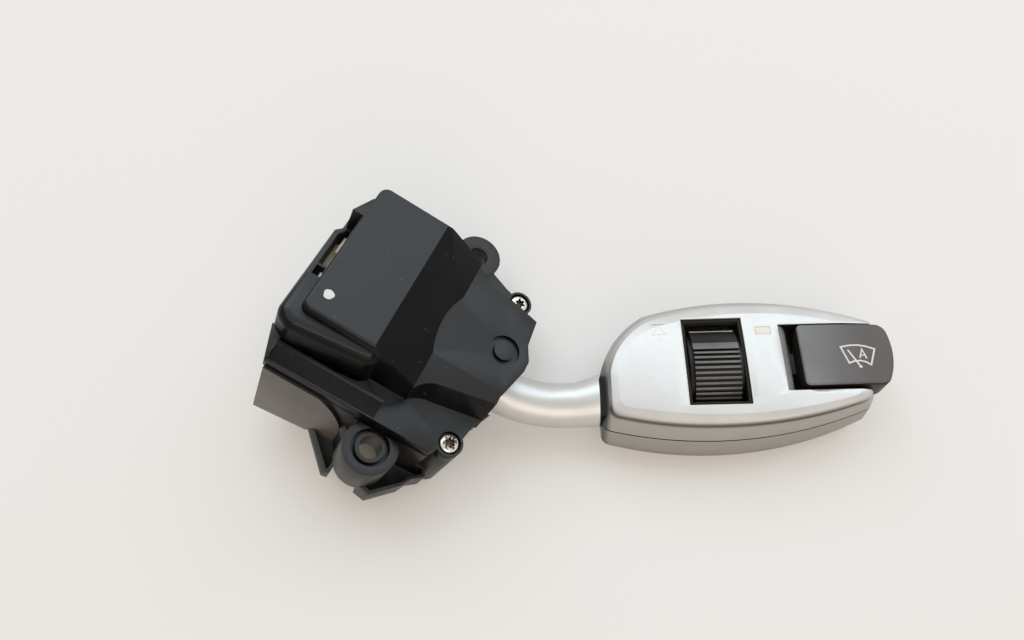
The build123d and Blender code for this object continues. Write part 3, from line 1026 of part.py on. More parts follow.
with BuildPart() as wheel_switch:
    block((ROTARY_LEFT, WHEEL_Y - ROTARY_HALF, WHEEL_Z - ROTARY_HALF),
          (ROTARY_RIGHT, WHEEL_Y + ROTARY_HALF, WHEEL_Z + ROTARY_HALF))
    rod(AXLE_LEFT - SEAT, ROTARY_RIGHT, WHEEL_Y, WHEEL_Z, AXLE_R + RUNNING, Mode.SUBTRACT)
write(wheel_switch, "wheel_switch", GRIP)

# ================================================================ end button
with BuildPart() as end_button:
    with BuildSketch(Plane.XY.offset(BUTTON_BOTTOM)) as button_outline:
        with BuildLine():
            Polyline((BUTTON_CORNER_FAR_X, BUTTON_FAR), (BUTTON_LEFT, BUTTON_FAR), (BUTTON_LEFT, BUTTON_NEAR),
                     (BUTTON_CORNER_NEAR_X, BUTTON_NEAR))
            ThreePointArc((BUTTON_CORNER_NEAR_X, BUTTON_NEAR), (BUTTON_END, BUTTON_Y),
                          (BUTTON_CORNER_FAR_X, BUTTON_FAR))
        make_face()
        fillet(button_outline.vertices().sort_by(Axis.X)[:2], BUTTON_CORNER_R)
        fillet(button_outline.vertices().sort_by(Axis.X)[-2:], BUTTON_TIP_R)
    extrude(button_outline.sketch, amount=BUTTON_TOP - BUTTON_BOTTOM)
    fillet(end_button.faces().sort_by(Axis.Z)[-1].edges(), BUTTON_EDGE_R)
    with BuildSketch(Plane.XY.offset(BUTTON_BOTTOM)) as button_inside:
        add(button_outline.sketch)
        offset(amount=-BUTTON_WALL, kind=Kind.INTERSECTION)
    extrude(button_inside.sketch, amount=BUTTON_TOP - BUTTON_BOTTOM - BUTTON_WALL, mode=Mode.SUBTRACT)
    block((BUTTON_TONGUE_LEFT, BUTTON_Y - BUTTON_TONGUE_HALF_WIDTH, BUTTON_BOTTOM),
          (BUTTON_LEFT + BUTTON_WALL, BUTTON_Y + BUTTON_TONGUE_HALF_WIDTH,
           BUTTON_BOTTOM + BUTTON_TONGUE_HEIGHT))
    block((BUTTON_RIB_X, BUTTON_Y - BUTTON_RIB_HALF_WIDTH, BUTTON_BOTTOM),
          (BUTTON_RIB_X + BUTTON_WALL, BUTTON_Y + BUTTON_RIB_HALF_WIDTH, BUTTON_TOP - BUTTON_WALL))
write(end_button, "end_button", GRIP)

with BuildPart() as button_guide:
    block((GUIDE_LEFT, BUTTON_NEAR + BUTTON_WALL + SEAT, GUIDE_TOP - GUIDE_THICKNESS),
          (GUIDE_RIGHT, BUTTON_FAR - BUTTON_WALL - SEAT, GUIDE_TOP))
    for y in (BUTTON_NEAR + BUTTON_WALL + SEAT, BUTTON_FAR - 2 * BUTTON_WALL - SEAT):
        block((GUIDE_LEFT, y, GUIDE_TOP), (GUIDE_RIGHT, y + BUTTON_WALL, GUIDE_RAIL_TOP))
    block((GUIDE_LEFT, BUTTON_Y - GUIDE_BLOCK_HALF_WIDTH, GUIDE_TOP),
          (GUIDE_BLOCK_RIGHT, BUTTON_Y + GUIDE_BLOCK_HALF_WIDTH, GUIDE_RAIL_TOP))
    rod(BUTTON_RIB_X - BUTTON_SPRING_LENGTH - BUTTON_TRAVEL - LOOSE, GUIDE_BLOCK_RIGHT, BUTTON_Y,
        BUTTON_SPRING_Z, SPRING_R + SPRING_WIRE_R + LOOSE, Mode.SUBTRACT)
write(button_guide, "button_guide", GRIP)

with BuildPart() as button_coil:
    coil_spring(BUTTON_SPRING_LENGTH, BUTTON_SPRING_TURNS, SPRING_R, SPRING_WIRE_R)
with BuildPart() as button_spring:
    with Locations(Location((BUTTON_RIB_X - BUTTON_SPRING_LENGTH, BUTTON_Y, BUTTON_SPRING_Z), (0, 90, 0))):
        add(button_coil.part)
write(button_spring, "button_spring", GRIP)

# ================================================================ handle electronics
with BuildPart() as grip_board:
    prism(GRIP_BOARD_OUTLINE, GRIP_BOARD_TOP - GRIP_BOARD_THICKNESS, GRIP_BOARD_TOP)
write(grip_board, "grip_board", GRIP)

with BuildPart() as button_switch:
    block((KEY_SWITCH_LEFT, BUTTON_Y - BUTTON_TONGUE_HALF_WIDTH, GRIP_BOARD_TOP),
          (KEY_SWITCH_RIGHT, BUTTON_Y + BUTTON_TONGUE_HALF_WIDTH, GRIP_BOARD_TOP + KEY_SWITCH_HEIGHT))
    rod(KEY_STEM_LEFT - BUTTON_TRAVEL - SEAT, KEY_SWITCH_RIGHT, BUTTON_Y, KEY_STEM_Z, KEY_STEM_R + RUNNING,
        Mode.SUBTRACT)
write(button_switch, "button_switch", GRIP)

with BuildPart() as button_switch_stem:
    rod(KEY_STEM_LEFT, BUTTON_TONGUE_LEFT - SEAT, BUTTON_Y, KEY_STEM_Z, KEY_STEM_R)
write(button_switch_stem, "button_switch_stem", GRIP)

with BuildPart() as indicator_lens:
    block((LENS_X - LENS_LENGTH / 2, LENS_Y - LENS_WIDTH / 2, GRIP_BOARD_TOP + LED_HEIGHT + SEAT),
          (LENS_X + LENS_LENGTH / 2, LENS_Y + LENS_WIDTH / 2, GRIP_TOP))
write(indicator_lens, "indicator_lens", GRIP)

with BuildPart() as indicator_led:
    block((LENS_X - LED_LENGTH / 2, LENS_Y - LED_WIDTH / 2, GRIP_BOARD_TOP),
          (LENS_X + LED_LENGTH / 2, LENS_Y + LED_WIDTH / 2, GRIP_BOARD_TOP + LED_HEIGHT))
write(indicator_led, "indicator_led", GRIP)
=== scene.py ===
"""The looks of the wiper stalk switch: finishes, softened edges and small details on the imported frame.

Lengths are in mm of the drawing frames unless a comment says metres. The handle's frame has its axes along
the model's; the switch box's frame lies along the lever and the column axis.
"""

import json
import math

import bmesh
import bpy
from mathutils import Matrix, Vector


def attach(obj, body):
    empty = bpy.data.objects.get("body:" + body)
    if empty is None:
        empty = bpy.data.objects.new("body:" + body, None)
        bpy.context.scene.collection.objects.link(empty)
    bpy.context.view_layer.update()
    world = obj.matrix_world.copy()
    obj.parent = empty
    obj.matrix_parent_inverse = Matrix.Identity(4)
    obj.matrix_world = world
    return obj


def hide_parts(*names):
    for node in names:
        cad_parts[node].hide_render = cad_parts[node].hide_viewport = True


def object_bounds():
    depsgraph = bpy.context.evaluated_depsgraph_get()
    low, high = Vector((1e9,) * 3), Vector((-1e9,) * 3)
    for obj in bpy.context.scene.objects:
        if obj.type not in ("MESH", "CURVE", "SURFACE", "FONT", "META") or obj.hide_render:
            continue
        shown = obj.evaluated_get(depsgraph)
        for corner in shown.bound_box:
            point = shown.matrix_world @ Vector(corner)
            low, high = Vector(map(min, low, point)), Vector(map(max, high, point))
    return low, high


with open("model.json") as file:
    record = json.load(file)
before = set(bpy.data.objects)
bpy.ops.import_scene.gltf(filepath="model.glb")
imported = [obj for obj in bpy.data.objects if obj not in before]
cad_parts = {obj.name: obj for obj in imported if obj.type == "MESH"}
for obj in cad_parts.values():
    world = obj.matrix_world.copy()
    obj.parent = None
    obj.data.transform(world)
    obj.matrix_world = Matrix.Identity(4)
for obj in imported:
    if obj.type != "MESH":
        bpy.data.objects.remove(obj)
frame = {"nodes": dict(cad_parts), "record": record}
cad_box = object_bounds()

MM = 0.001
X, Y, Z = 0, 1, 2

BODY_OF = {name: body for body, names in frame["record"]["behaviour"]["bodies"].items() for name in names}
SLOT_OF = {part["node"]: part["material_slot"] for part in frame["record"]["subparts"]}

# ---------------------------------------------------------------- drawing frames, as in the CAD source
COLUMN_AXIS = Vector((0.413, -0.008, 0.911)).normalized()
LEVER_DIRECTION = Vector((0.830, -0.409, -0.380))
LEVER_DIRECTION = (LEVER_DIRECTION - COLUMN_AXIS * LEVER_DIRECTION.dot(COLUMN_AXIS)).normalized()
SIDE_DIRECTION = COLUMN_AXIS.cross(LEVER_DIRECTION)
GRIP_ORIGIN = Vector((80.5, -7.7, -20.6))


def housing(x, y, z):
    """A point of the switch box's frame, in model metres."""
    return (LEVER_DIRECTION * x + SIDE_DIRECTION * y + COLUMN_AXIS * z) * MM


def grip(x, y, z):
    """A point of the handle's frame, in model metres."""
    return (GRIP_ORIGIN + Vector((x, y, z))) * MM


def to_grip(point):
    """The place in the handle's frame of a point in model metres."""
    return point / MM - GRIP_ORIGIN


# ---------------------------------------------------------------- camera
CAMERA_PLACE = Vector((30.54, -84.46, 180.66)) * MM
CAMERA_FORWARD = Vector((-0.044, 0.448, -0.893))
CAMERA_RIGHT = Vector((0.999, -0.006, -0.052))
LENS_MM = 27.07
SENSOR_MM = 36.0
CLIP_START = 0.01  # metres


def make_camera():
    """A camera where the photograph was taken from."""
    data = bpy.data.cameras.new("camera")
    data.lens = LENS_MM
    data.sensor_width = SENSOR_MM
    data.clip_start = CLIP_START
    camera = bpy.data.objects.new("camera", data)
    bpy.context.scene.collection.objects.link(camera)
    back = -CAMERA_FORWARD.normalized()
    right = (CAMERA_RIGHT - back * CAMERA_RIGHT.dot(back)).normalized()
    up = back.cross(right)
    turn = Matrix((right, up, back)).transposed().to_4x4()
    camera.matrix_world = Matrix.Translation(CAMERA_PLACE) @ turn
    bpy.context.scene.camera = camera


# ---------------------------------------------------------------- node trees
# the colour sockets of a Mix node
MIX_A, MIX_B, MIX_RESULT = 6, 7, 2


def node(tree, kind, **values):
    """A new node, with values for its inputs or its own settings."""
    made = tree.nodes.new(kind)
    for key, value in values.items():
        if key in made.inputs:
            made.inputs[key].default_value = value
        else:
            setattr(made, key, value)
    return made


def link(tree, output, target):
    """Join an output to an input."""
    tree.links.new(output, target)


def calculated(tree, operation, first, second):
    """One number made of two."""
    made = node(tree, "ShaderNodeMath", operation=operation)
    link(tree, first, made.inputs[0])
    link(tree, second, made.inputs[1])
    return made.outputs["Value"]


def ranged(tree, value, start, end, low=0.0, high=1.0, kind="LINEAR"):
    """A number that runs from low to high while the value runs from start to end."""
    run = node(tree, "ShaderNodeMapRange", interpolation_type=kind)
    run.inputs["From Min"].default_value = start
    run.inputs["From Max"].default_value = end
    run.inputs["To Min"].default_value = low
    run.inputs["To Max"].default_value = high
    link(tree, value, run.inputs["Value"])
    return run.outputs["Result"]


def by_distance(tree, place, centre, near, far, at_near, at_far):
    """A number that runs from one value to another with the distance from a place, in metres."""
    away = node(tree, "ShaderNodeVectorMath", operation="DISTANCE")
    away.inputs[1].default_value = centre
    link(tree, place.outputs["Object"], away.inputs[0])
    return ranged(tree, away.outputs["Value"], near, far, at_near, at_far)


def tinted(tree, value, start, end, first, last):
    """A colour that runs from the first to the last while the value runs from start to end."""
    scale = node(tree, "ShaderNodeValToRGB")
    for element, position, colour in zip(scale.color_ramp.elements, (start, end), (first, last)):
        element.position = position
        element.color = (*colour, 1)
    link(tree, value, scale.inputs["Fac"])
    return scale.outputs["Color"]


def covered(tree, share, under, over):
    """A colour laid over another one by a share."""
    mix = node(tree, "ShaderNodeMix", data_type="RGBA")
    link(tree, share, mix.inputs["Factor"])
    link(tree, under, mix.inputs[MIX_A])
    mix.inputs[MIX_B].default_value = (*over, 1)
    return mix.outputs[MIX_RESULT]


def blended(tree, share, first, second):
    """The first shader where the share is 0, the second where it is 1."""
    mix = node(tree, "ShaderNodeMixShader")
    for socket, source in enumerate((share, first, second)):
        link(tree, source, mix.inputs[socket])
    return mix.outputs["Shader"]


def seeing_rays(tree):
    """1 for the rays that see the background: from the camera, off gloss or through glass."""
    rays = node(tree, "ShaderNodeLightPath").outputs
    found = rays["Is Camera Ray"]
    for name in ("Is Glossy Ray", "Is Transmission Ray"):
        found = calculated(tree, "MAXIMUM", found, rays[name])
    return found


# ---------------------------------------------------------------- materials
# what every moulded or painted surface has in common
DRIFT_NOISE = {"Scale": 90.0, "Detail": 5.0, "Roughness": 0.6}
SPECK_NOISE = {"Scale": 700.0, "Detail": 3.0, "Roughness": 0.7}
GRAIN_NOISE = {"Scale": 1600.0, "Detail": 2.0}
DRIFT_FROM, DRIFT_TO = 0.3, 0.75
SPECK_FROM, SPECK_TO = 0.68, 0.8
PALE_DUST, DARK_DUST = (0.5, 0.47, 0.42), (0.25, 0.24, 0.22)
DARK_SUM = 1  # a colour whose three parts add up to less is dark, and its dust is pale
GLOSS_BELOW, GLOSS_ABOVE, LEAST_ROUGHNESS = 0.07, 0.09, 0.05
GRAIN_DEPTH = 0.0001  # metres


def new_material(name):
    """A material with its node tree."""
    material = bpy.data.materials.new(name)
    material.use_nodes = True
    return material


def principled(material, colour, roughness, metallic, shine):
    """The material's own shader, with its plain values set."""
    shader = material.node_tree.nodes["Principled BSDF"]
    shader.inputs["Base Color"].default_value = (*colour, 1)
    shader.inputs["Roughness"].default_value = roughness
    shader.inputs["Metallic"].default_value = metallic
    shader.inputs["Specular IOR Level"].default_value = shine
    return shader


def zone(tree, place, colour, ramps, other):
    """Another colour where every ramp, (axis, full place, clear place) in the handle's frame, is full."""
    split = node(tree, "ShaderNodeSeparateXYZ")
    link(tree, place.outputs["Object"], split.inputs["Vector"])
    share = None
    for axis, full, clear in ramps:
        start, end = ((GRIP_ORIGIN[axis] + at) * MM for at in (clear, full))
        ramp = ranged(tree, split.outputs[axis], start, end, kind="SMOOTHSTEP")
        share = ramp if share is None else calculated(tree, "MULTIPLY", share, ramp)
    return covered(tree, share, colour, other)


def noise(tree, place, values):
    """A noise fixed to the piece, from 0 to 1."""
    made = node(tree, "ShaderNodeTexNoise", **values)
    link(tree, place.outputs["Object"], made.inputs["Vector"])
    return made.outputs["Fac"]


def moulded(name, colour, roughness, grain=0.02, wear=0.3, metallic=0.0, spread=0.25, shine=0.5, zones=()):
    """Plastic, paint or metal: a fine grain, uneven gloss, slight colour drift, specks of dust, and painted
    shade in any zones given.
    """
    material = new_material(name)
    tree = material.node_tree
    shader = principled(material, colour, roughness, metallic, shine)
    place = node(tree, "ShaderNodeTexCoord")
    drift = noise(tree, place, DRIFT_NOISE)
    dark = [part * (1 - spread) for part in colour]
    light = [min(1, part * (1 + spread)) for part in colour]
    tint = tinted(tree, drift, DRIFT_FROM, DRIFT_TO, dark, light)
    dust = tinted(tree, noise(tree, place, SPECK_NOISE), SPECK_FROM, SPECK_TO, (0, 0, 0), (wear, wear, wear))
    surface = covered(tree, dust, tint, PALE_DUST if sum(colour) < DARK_SUM else DARK_DUST)
    for ramps, other in zones:
        surface = zone(tree, place, surface, ramps, other)
    link(tree, surface, shader.inputs["Base Color"])
    smooth, rough = max(LEAST_ROUGHNESS, roughness - GLOSS_BELOW), min(1, roughness + GLOSS_ABOVE)
    link(tree, ranged(tree, drift, 0, 1, smooth, rough), shader.inputs["Roughness"])
    bump = node(tree, "ShaderNodeBump", Strength=grain, Distance=GRAIN_DEPTH)
    link(tree, noise(tree, place, GRAIN_NOISE), bump.inputs["Height"])
    link(tree, bump.outputs["Normal"], shader.inputs["Normal"])
    return material


# zones of the handle's paint, all painted shade: darker sides below the crease, a dark band in the crease
# along the near side, and darkening by the neck
TOP_SHADE_ZONES = [
    ([(Z, 16.0, 16.8)], (0.44, 0.42, 0.40)),
    ([(Z, 16.7, 15.9), (Z, 16.7, 17.9), (Y, -10.5, -7.5)], (0.10, 0.087, 0.076)),
    ([(X, -35.6, -34.0), (Z, 16.6, 17.6)], (0.1, 0.1, 0.1)),
]
# painted shade: the lower shell darker by the neck
LOWER_SHADE_ZONES = [([(X, -36.2, -34.4)], (0.12, 0.12, 0.12))]
# painted shade: the end button darker towards its tip
BUTTON_SHADE_ZONES = [([(X, 32.0, 15.0)], (0.085, 0.071, 0.067))]
METAL = {"grain": 0.05, "wear": 0.2, "metallic": 1.0, "spread": 0.12}
SILVER = {"metallic": 0.6, "wear": 0.2}

# each finish: its material's name, colour and roughness, and what differs from moulded()'s own values
FINISHES = {
    "black_cover": ("black_cover_plastic", (0.008, 0.008, 0.009), 0.36, {"grain": 0.06, "shine": 0.4}),
    "black_base": ("black_base_plastic", (0.02, 0.019, 0.018), 0.38, {"grain": 0.06, "shine": 0.34}),
    "black_connector": ("black_connector_plastic", (0.012, 0.012, 0.0125), 0.42, {}),
    "black_glass_nylon": ("black_glass_nylon", (0.03, 0.03, 0.031), 0.55, {}),
    "black_switch": ("black_switch_plastic", (0.028, 0.028, 0.03), 0.5, {}),
    "black_bezel": ("black_bezel_plastic", (0.05, 0.044, 0.042), 0.4, {}),
    "black_wheel": ("black_wheel_plastic", (0.012, 0.011, 0.011), 0.36, {"shine": 0.22}),
    "grey_button": ("grey_button_plastic", (0.185, 0.183, 0.188), 0.4, {"zones": BUTTON_SHADE_ZONES}),
    "silver_neck": ("silver_paint_neck", (0.63, 0.622, 0.61), 0.36, {**SILVER, "wear": 0.15, "spread": 0.04}),
    "silver_top": ("silver_paint_top", (0.615, 0.598, 0.582), 0.38,
                   {**SILVER, "grain": 0.1, "spread": 0.06, "zones": TOP_SHADE_ZONES}),
    "silver_lower": ("silver_paint_lower", (0.38, 0.355, 0.33), 0.38,
                     {**SILVER, "spread": 0.05, "zones": LOWER_SHADE_ZONES}),
    "natural_acetal": ("natural_acetal", (0.8, 0.78, 0.7), 0.4, {"wear": 0.05, "spread": 0.03}),
    "cream_nylon": ("cream_nylon", (0.75, 0.7, 0.52), 0.45, {"wear": 0.05, "spread": 0.05}),
    "cream_lens": ("cream_lens", (0.9, 0.88, 0.8), 0.3, {"wear": 0.05, "spread": 0.03}),
    "board": ("board_mask", (0.03, 0.13, 0.06), 0.3, {"spread": 0.1}),
    "flat_lead": ("flat_lead_film", (0.5, 0.27, 0.08), 0.25, {"spread": 0.1}),
    "zinc_steel": ("zinc_plate", (0.78, 0.74, 0.66), 0.28, METAL),
    "spring_steel": ("spring_steel", (0.6, 0.6, 0.6), 0.3, METAL),
    "tinned_brass": ("tinned_brass", (0.75, 0.7, 0.58), 0.3, METAL),
    # painted shade: a flat grey, darker than the silver, on the button recess's sloped wall
    "recess_painted_shade": ("recess_painted_shade_grey", (0.3, 0.3, 0.3), 0.5, {}),
    # painted light: the near wall of the base lighter, standing in for the bright floor lighting it
    "near_wall_painted_light": ("near_wall_painted_light_plastic", (0.14, 0.127, 0.117), 0.45, {"grain": 0.06}),
    # smoother than the grained flats, and darker and less shiny: painted shade on the cover's slopes and
    # walls
    "smooth_shaded_cover": ("smooth_shaded_cover_plastic", (0.005, 0.005, 0.0055), 0.3, {"shine": 0.12}),
    # painted highlight: light grey along the thumbwheel's lip
    "wheel_lip": ("wheel_lip_highlight_paint", (0.5, 0.49, 0.48), 0.35, {"spread": 0.3}),
    # near-black: a dark joint in the handle's seam, and painted shade in the button recess, at the neck's end
    # and on the bezel
    "dark_joint_and_shade": ("dark_joint_and_shade_plastic", (0.012, 0.011, 0.011), 0.5, {"shine": 0.2}),
    # painted shade: near-black on the end button's inner end and near side
    "button_painted_shade": ("button_painted_shade_plastic", (0.02, 0.016, 0.015), 0.45, {"shine": 0.3}),
    # painted highlight: the thumbwheel's rib tops lighter, as glints
    "rib_painted_glint": ("rib_glint_plastic", (0.15, 0.142, 0.137), 0.32, {"grain": 0.1, "spread": 0.45}),
    # near-white: the park sign's print, and a painted highlight round the thumbwheel's opening
    "white_print_and_highlight": ("white_print_and_highlight_paint", (0.92, 0.91, 0.9), 0.5, {"wear": 0.1, "spread": 0.03}),
    # painted shade: dark in the screws' six-lobed recesses
    "screw_recess": ("screw_recess_shaded_steel", (0.1, 0.075, 0.05), 0.4, {"metallic": 0.8, "spread": 0.3}),
    "sign_paint": ("sign_paint", (0.8, 0.79, 0.76), 0.5, {"wear": 0.1, "spread": 0.05}),
    "dab_paint": ("dab_paint", (0.82, 0.82, 0.8), 0.45, {"wear": 0.1, "spread": 0.05}),
}
materials = {slot: moulded(name, colour, roughness, **more)
             for slot, (name, colour, roughness, more) in FINISHES.items()}

# ---------------------------------------------------------------- sky, floor and lamps
SKY_COLOUR = (1.0, 0.87, 0.72, 1)
SKY_LOW, SKY_HIGH = 0.10, 0.66
BACKGROUND_TONE = (0.86, 0.86, 0.86, 1)
FLOOR_Z = cad_box[0][Z]  # metres, as all that follows here
FLOOR_HALF = 0.9
FLOOR_COLOUR, FLOOR_ROUGHNESS, FLOOR_SHINE = (0.905, 0.91, 0.93), 0.75, 0.2
# painted light: the flat tone is warmer near the part, lightening and warming the cast shadows
FLOOR_TONE_NEAR = (0.89, 0.85, 0.80, 1)
FLOOR_NEAR, FLOOR_FAR = 0.1, 0.55
FLOOR_TONE_SHARE = 0.28
BORE_SHADE_NEAR, BORE_SHADE_FAR = 0.006, 0.014
MIDDLE_X, MIDDLE_Y = 0.03, 0.0
COOL_LIGHT, WARM_LIGHT = (0.74, 0.89, 1.0), (1.0, 0.84, 0.66)
# each lamp: place, side, power in watts, colour
LAMPS = {
    "key": ((-0.45, 1.05, 1.30), 1.30, 9.8, COOL_LIGHT),
    "sheen": ((0.90, 0.78, 1.30), 1.50, 11.0, COOL_LIGHT),
    "fill": ((0.25, -1.35, 0.85), 1.10, 6.0, WARM_LIGHT),
}
NEAR_EAR_PLACE = (0.0, -32.0, 0.0)  # mm of the switch box's frame


def make_world():
    """A soft warm sky, dim near the horizon; the rays that see the background find it pale and even."""
    world = bpy.data.worlds.new("studio")
    bpy.context.scene.world = world
    world.use_nodes = True
    tree = world.node_tree
    sky = tree.nodes["Background"]
    sky.inputs["Color"].default_value = SKY_COLOUR
    place = node(tree, "ShaderNodeTexCoord")
    split = node(tree, "ShaderNodeSeparateXYZ")
    link(tree, place.outputs["Generated"], split.inputs["Vector"])
    link(tree, ranged(tree, split.outputs["Z"], 0, 1, SKY_LOW, SKY_HIGH), sky.inputs["Strength"])
    pale = node(tree, "ShaderNodeBackground", Color=BACKGROUND_TONE)
    seen = blended(tree, seeing_rays(tree), sky.outputs["Background"], pale.outputs["Background"])
    link(tree, seen, tree.nodes["World Output"].inputs["Surface"])


def make_floor():
    """Pale paper that takes shadows; seen directly it is partly a flat glowing tone, more so further away,
    which lightens and warms the cast shadows as painted light, warmer near the part.

    The flat tone leaves out the spot that shows through the near ear's bore, which is dark in the shadow.
    """
    corners = [(-FLOOR_HALF, -FLOOR_HALF), (FLOOR_HALF, -FLOOR_HALF), (FLOOR_HALF, FLOOR_HALF),
               (-FLOOR_HALF, FLOOR_HALF)]
    mesh = bpy.data.meshes.new("floor")
    mesh.from_pydata([(x, y, FLOOR_Z) for x, y in corners], [], [(0, 1, 2, 3)])
    floor = bpy.data.objects.new("floor", mesh)
    bpy.context.scene.collection.objects.link(floor)
    paper = new_material("floor_paper")
    tree = paper.node_tree
    shader = principled(paper, FLOOR_COLOUR, FLOOR_ROUGHNESS, 0.0, FLOOR_SHINE)
    place = node(tree, "ShaderNodeTexCoord")
    middle = Vector((MIDDLE_X, MIDDLE_Y, FLOOR_Z))
    tone = node(tree, "ShaderNodeMix", data_type="RGBA")
    tone.inputs[MIX_A].default_value = FLOOR_TONE_NEAR
    tone.inputs[MIX_B].default_value = BACKGROUND_TONE
    link(tree, by_distance(tree, place, middle, FLOOR_NEAR, FLOOR_FAR, 0, 1), tone.inputs["Factor"])
    flat = node(tree, "ShaderNodeEmission")
    link(tree, tone.outputs[MIX_RESULT], flat.inputs["Color"])
    bore = housing(*NEAR_EAR_PLACE)
    sight = (bore - CAMERA_PLACE).normalized()
    below_bore = bore + sight * ((FLOOR_Z - bore.z) / sight.z)
    share = seeing_rays(tree)
    for factor in (by_distance(tree, place, middle, FLOOR_NEAR, FLOOR_FAR, FLOOR_TONE_SHARE, 1),
                   by_distance(tree, place, below_bore, BORE_SHADE_NEAR, BORE_SHADE_FAR, 0, 1)):
        share = calculated(tree, "MULTIPLY", share, factor)
    seen = blended(tree, share, shader.outputs["BSDF"], flat.outputs["Emission"])
    link(tree, seen, tree.nodes["Material Output"].inputs["Surface"])
    floor.data.materials.append(paper)


def area_light(name, place, size, power, colour):
    """A square lamp that looks at the middle of the part."""
    data = bpy.data.lights.new(name, "AREA")
    data.shape = "SQUARE"
    data.size = size
    data.energy = power
    data.color = colour
    lamp = bpy.data.objects.new(name, data)
    bpy.context.scene.collection.objects.link(lamp)
    lamp.location = place
    way = Vector((MIDDLE_X, MIDDLE_Y, 0)) - Vector(place)
    lamp.rotation_euler = way.to_track_quat("-Z", "Y").to_euler()


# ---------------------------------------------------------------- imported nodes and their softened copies
MERGE_REACH, CUT_REACH = 1e-6, 1e-7  # metres
FLAT_ANGLE, EDGE_ANGLE, SMOOTH_ANGLE = 0.6, 28.0, 35.0
EDGE_SEGMENTS, RIM_SEGMENTS = 2, 3
RIM_WIDTH, RIM_LEAST_ANGLE = 0.55, 8.0
ROUND_PROFILE = 0.5
MOST_CORNERS = 4  # faces with more are split


def paint_node(name):
    """Give a carried-over node its finish."""
    mesh = frame["nodes"][name].data
    mesh.materials.clear()
    mesh.materials.append(materials[SLOT_OF[name]])


def repaint_faces(piece, chosen, finish):
    """Give the faces that a test picks, by centre and normal, another finish."""
    piece.data.materials.append(materials[finish])
    for face in piece.data.polygons:
        if chosen(face.center, face.normal):
            face.material_index = len(piece.data.materials) - 1


def cut_along(made, axis, places):
    """Cut a mesh across one axis of the handle's frame at each of some places."""
    normal = Vector([1.0 if k == axis else 0.0 for k in range(3)])
    for place in places:
        point = grip(*[place if k == axis else 0 for k in range(3)])
        everything = made.verts[:] + made.edges[:] + made.faces[:]
        bmesh.ops.bisect_plane(made, geom=everything, plane_co=point, plane_no=normal, dist=CUT_REACH)


def bevel(made, edges, width, segments):
    """Round some edges of a mesh."""
    bmesh.ops.bevel(made, geom=edges, offset=width * MM, segments=segments, profile=ROUND_PROFILE,
                    affect="EDGES", clamp_overlap=True)


def soften(name, width, angle=EDGE_ANGLE, cuts=(), reshape=None, rim=None):
    """A copy of a node with its hard edges rounded, which stands for the node.

    The gentler edges that rim() picks are rounded too, then the mesh is cut and reshaped.
    """
    mesh = frame["nodes"][name].data.copy()
    made = bmesh.new()
    made.from_mesh(mesh)
    bmesh.ops.remove_doubles(made, verts=made.verts, dist=MERGE_REACH)
    bmesh.ops.dissolve_limit(made, angle_limit=math.radians(FLAT_ANGLE), verts=made.verts, edges=made.edges)
    hard = math.radians(angle)
    sharp = [e for e in made.edges if len(e.link_faces) == 2 and e.calc_face_angle(0) > hard]
    bevel(made, sharp, width, EDGE_SEGMENTS)
    if rim:
        gentle = [e for e in made.edges if len(e.link_faces) == 2
                  and math.radians(RIM_LEAST_ANGLE) < e.calc_face_angle(0) < hard
                  and rim((e.verts[0].co + e.verts[1].co) / 2)]
        bevel(made, gentle, RIM_WIDTH, RIM_SEGMENTS)
    for axis, places in cuts:
        cut_along(made, axis, places)
    if reshape:
        for vertex in made.verts:
            vertex.co = reshape(vertex.co)
    bmesh.ops.triangulate(made, faces=[f for f in made.faces if len(f.verts) > MOST_CORNERS])
    made.to_mesh(mesh)
    made.free()
    mesh.polygons.foreach_set("use_smooth", [True] * len(mesh.polygons))
    mesh.set_sharp_from_angle(angle=hard)
    mesh.materials.clear()
    mesh.materials.append(materials[SLOT_OF[name]])
    piece = bpy.data.objects.new(name + "_finished", mesh)
    bpy.context.scene.collection.objects.link(piece)
    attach(piece, BODY_OF[name])
    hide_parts(name)
    return piece


# ---------------------------------------------------------------- new pieces
MITRE_LEAST = 0.5  # keeps the corners of a sharp bend short


def add_piece(name, vertices, faces, body, finish, flat=False):
    """A mesh in model metres that rides with a body."""
    mesh = bpy.data.meshes.new(name)
    mesh.from_pydata([tuple(v) for v in vertices], [], faces)
    mesh.validate()
    made = bmesh.new()
    made.from_mesh(mesh)
    bmesh.ops.recalc_face_normals(made, faces=made.faces)
    made.to_mesh(mesh)
    made.free()
    mesh.polygons.foreach_set("use_smooth", [not flat] * len(mesh.polygons))
    if not flat:
        mesh.set_sharp_from_angle(angle=math.radians(SMOOTH_ANGLE))
    mesh.materials.append(materials[finish])
    piece = bpy.data.objects.new(name, mesh)
    bpy.context.scene.collection.objects.link(piece)
    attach(piece, body)
    return piece


def ribbon(points, width, closed):
    """Left and right borders of a stroke drawn along flat points, mitred at the corners."""
    count = len(points)
    left, right = [], []
    for i, point in enumerate(points):
        before = points[(i - 1) % count] if closed or i else None
        after = points[(i + 1) % count] if closed or i < count - 1 else None
        ways = []
        if before is not None:
            ways.append((Vector(point) - Vector(before)).normalized())
        if after is not None:
            ways.append((Vector(after) - Vector(point)).normalized())
        along = sum(ways, Vector((0, 0))).normalized()
        normal = Vector((-along.y, along.x))
        reach = width / 2 / max(MITRE_LEAST, normal.dot(Vector((-ways[0].y, ways[0].x))))
        left.append(Vector(point) + normal * reach)
        right.append(Vector(point) - normal * reach)
    return left, right


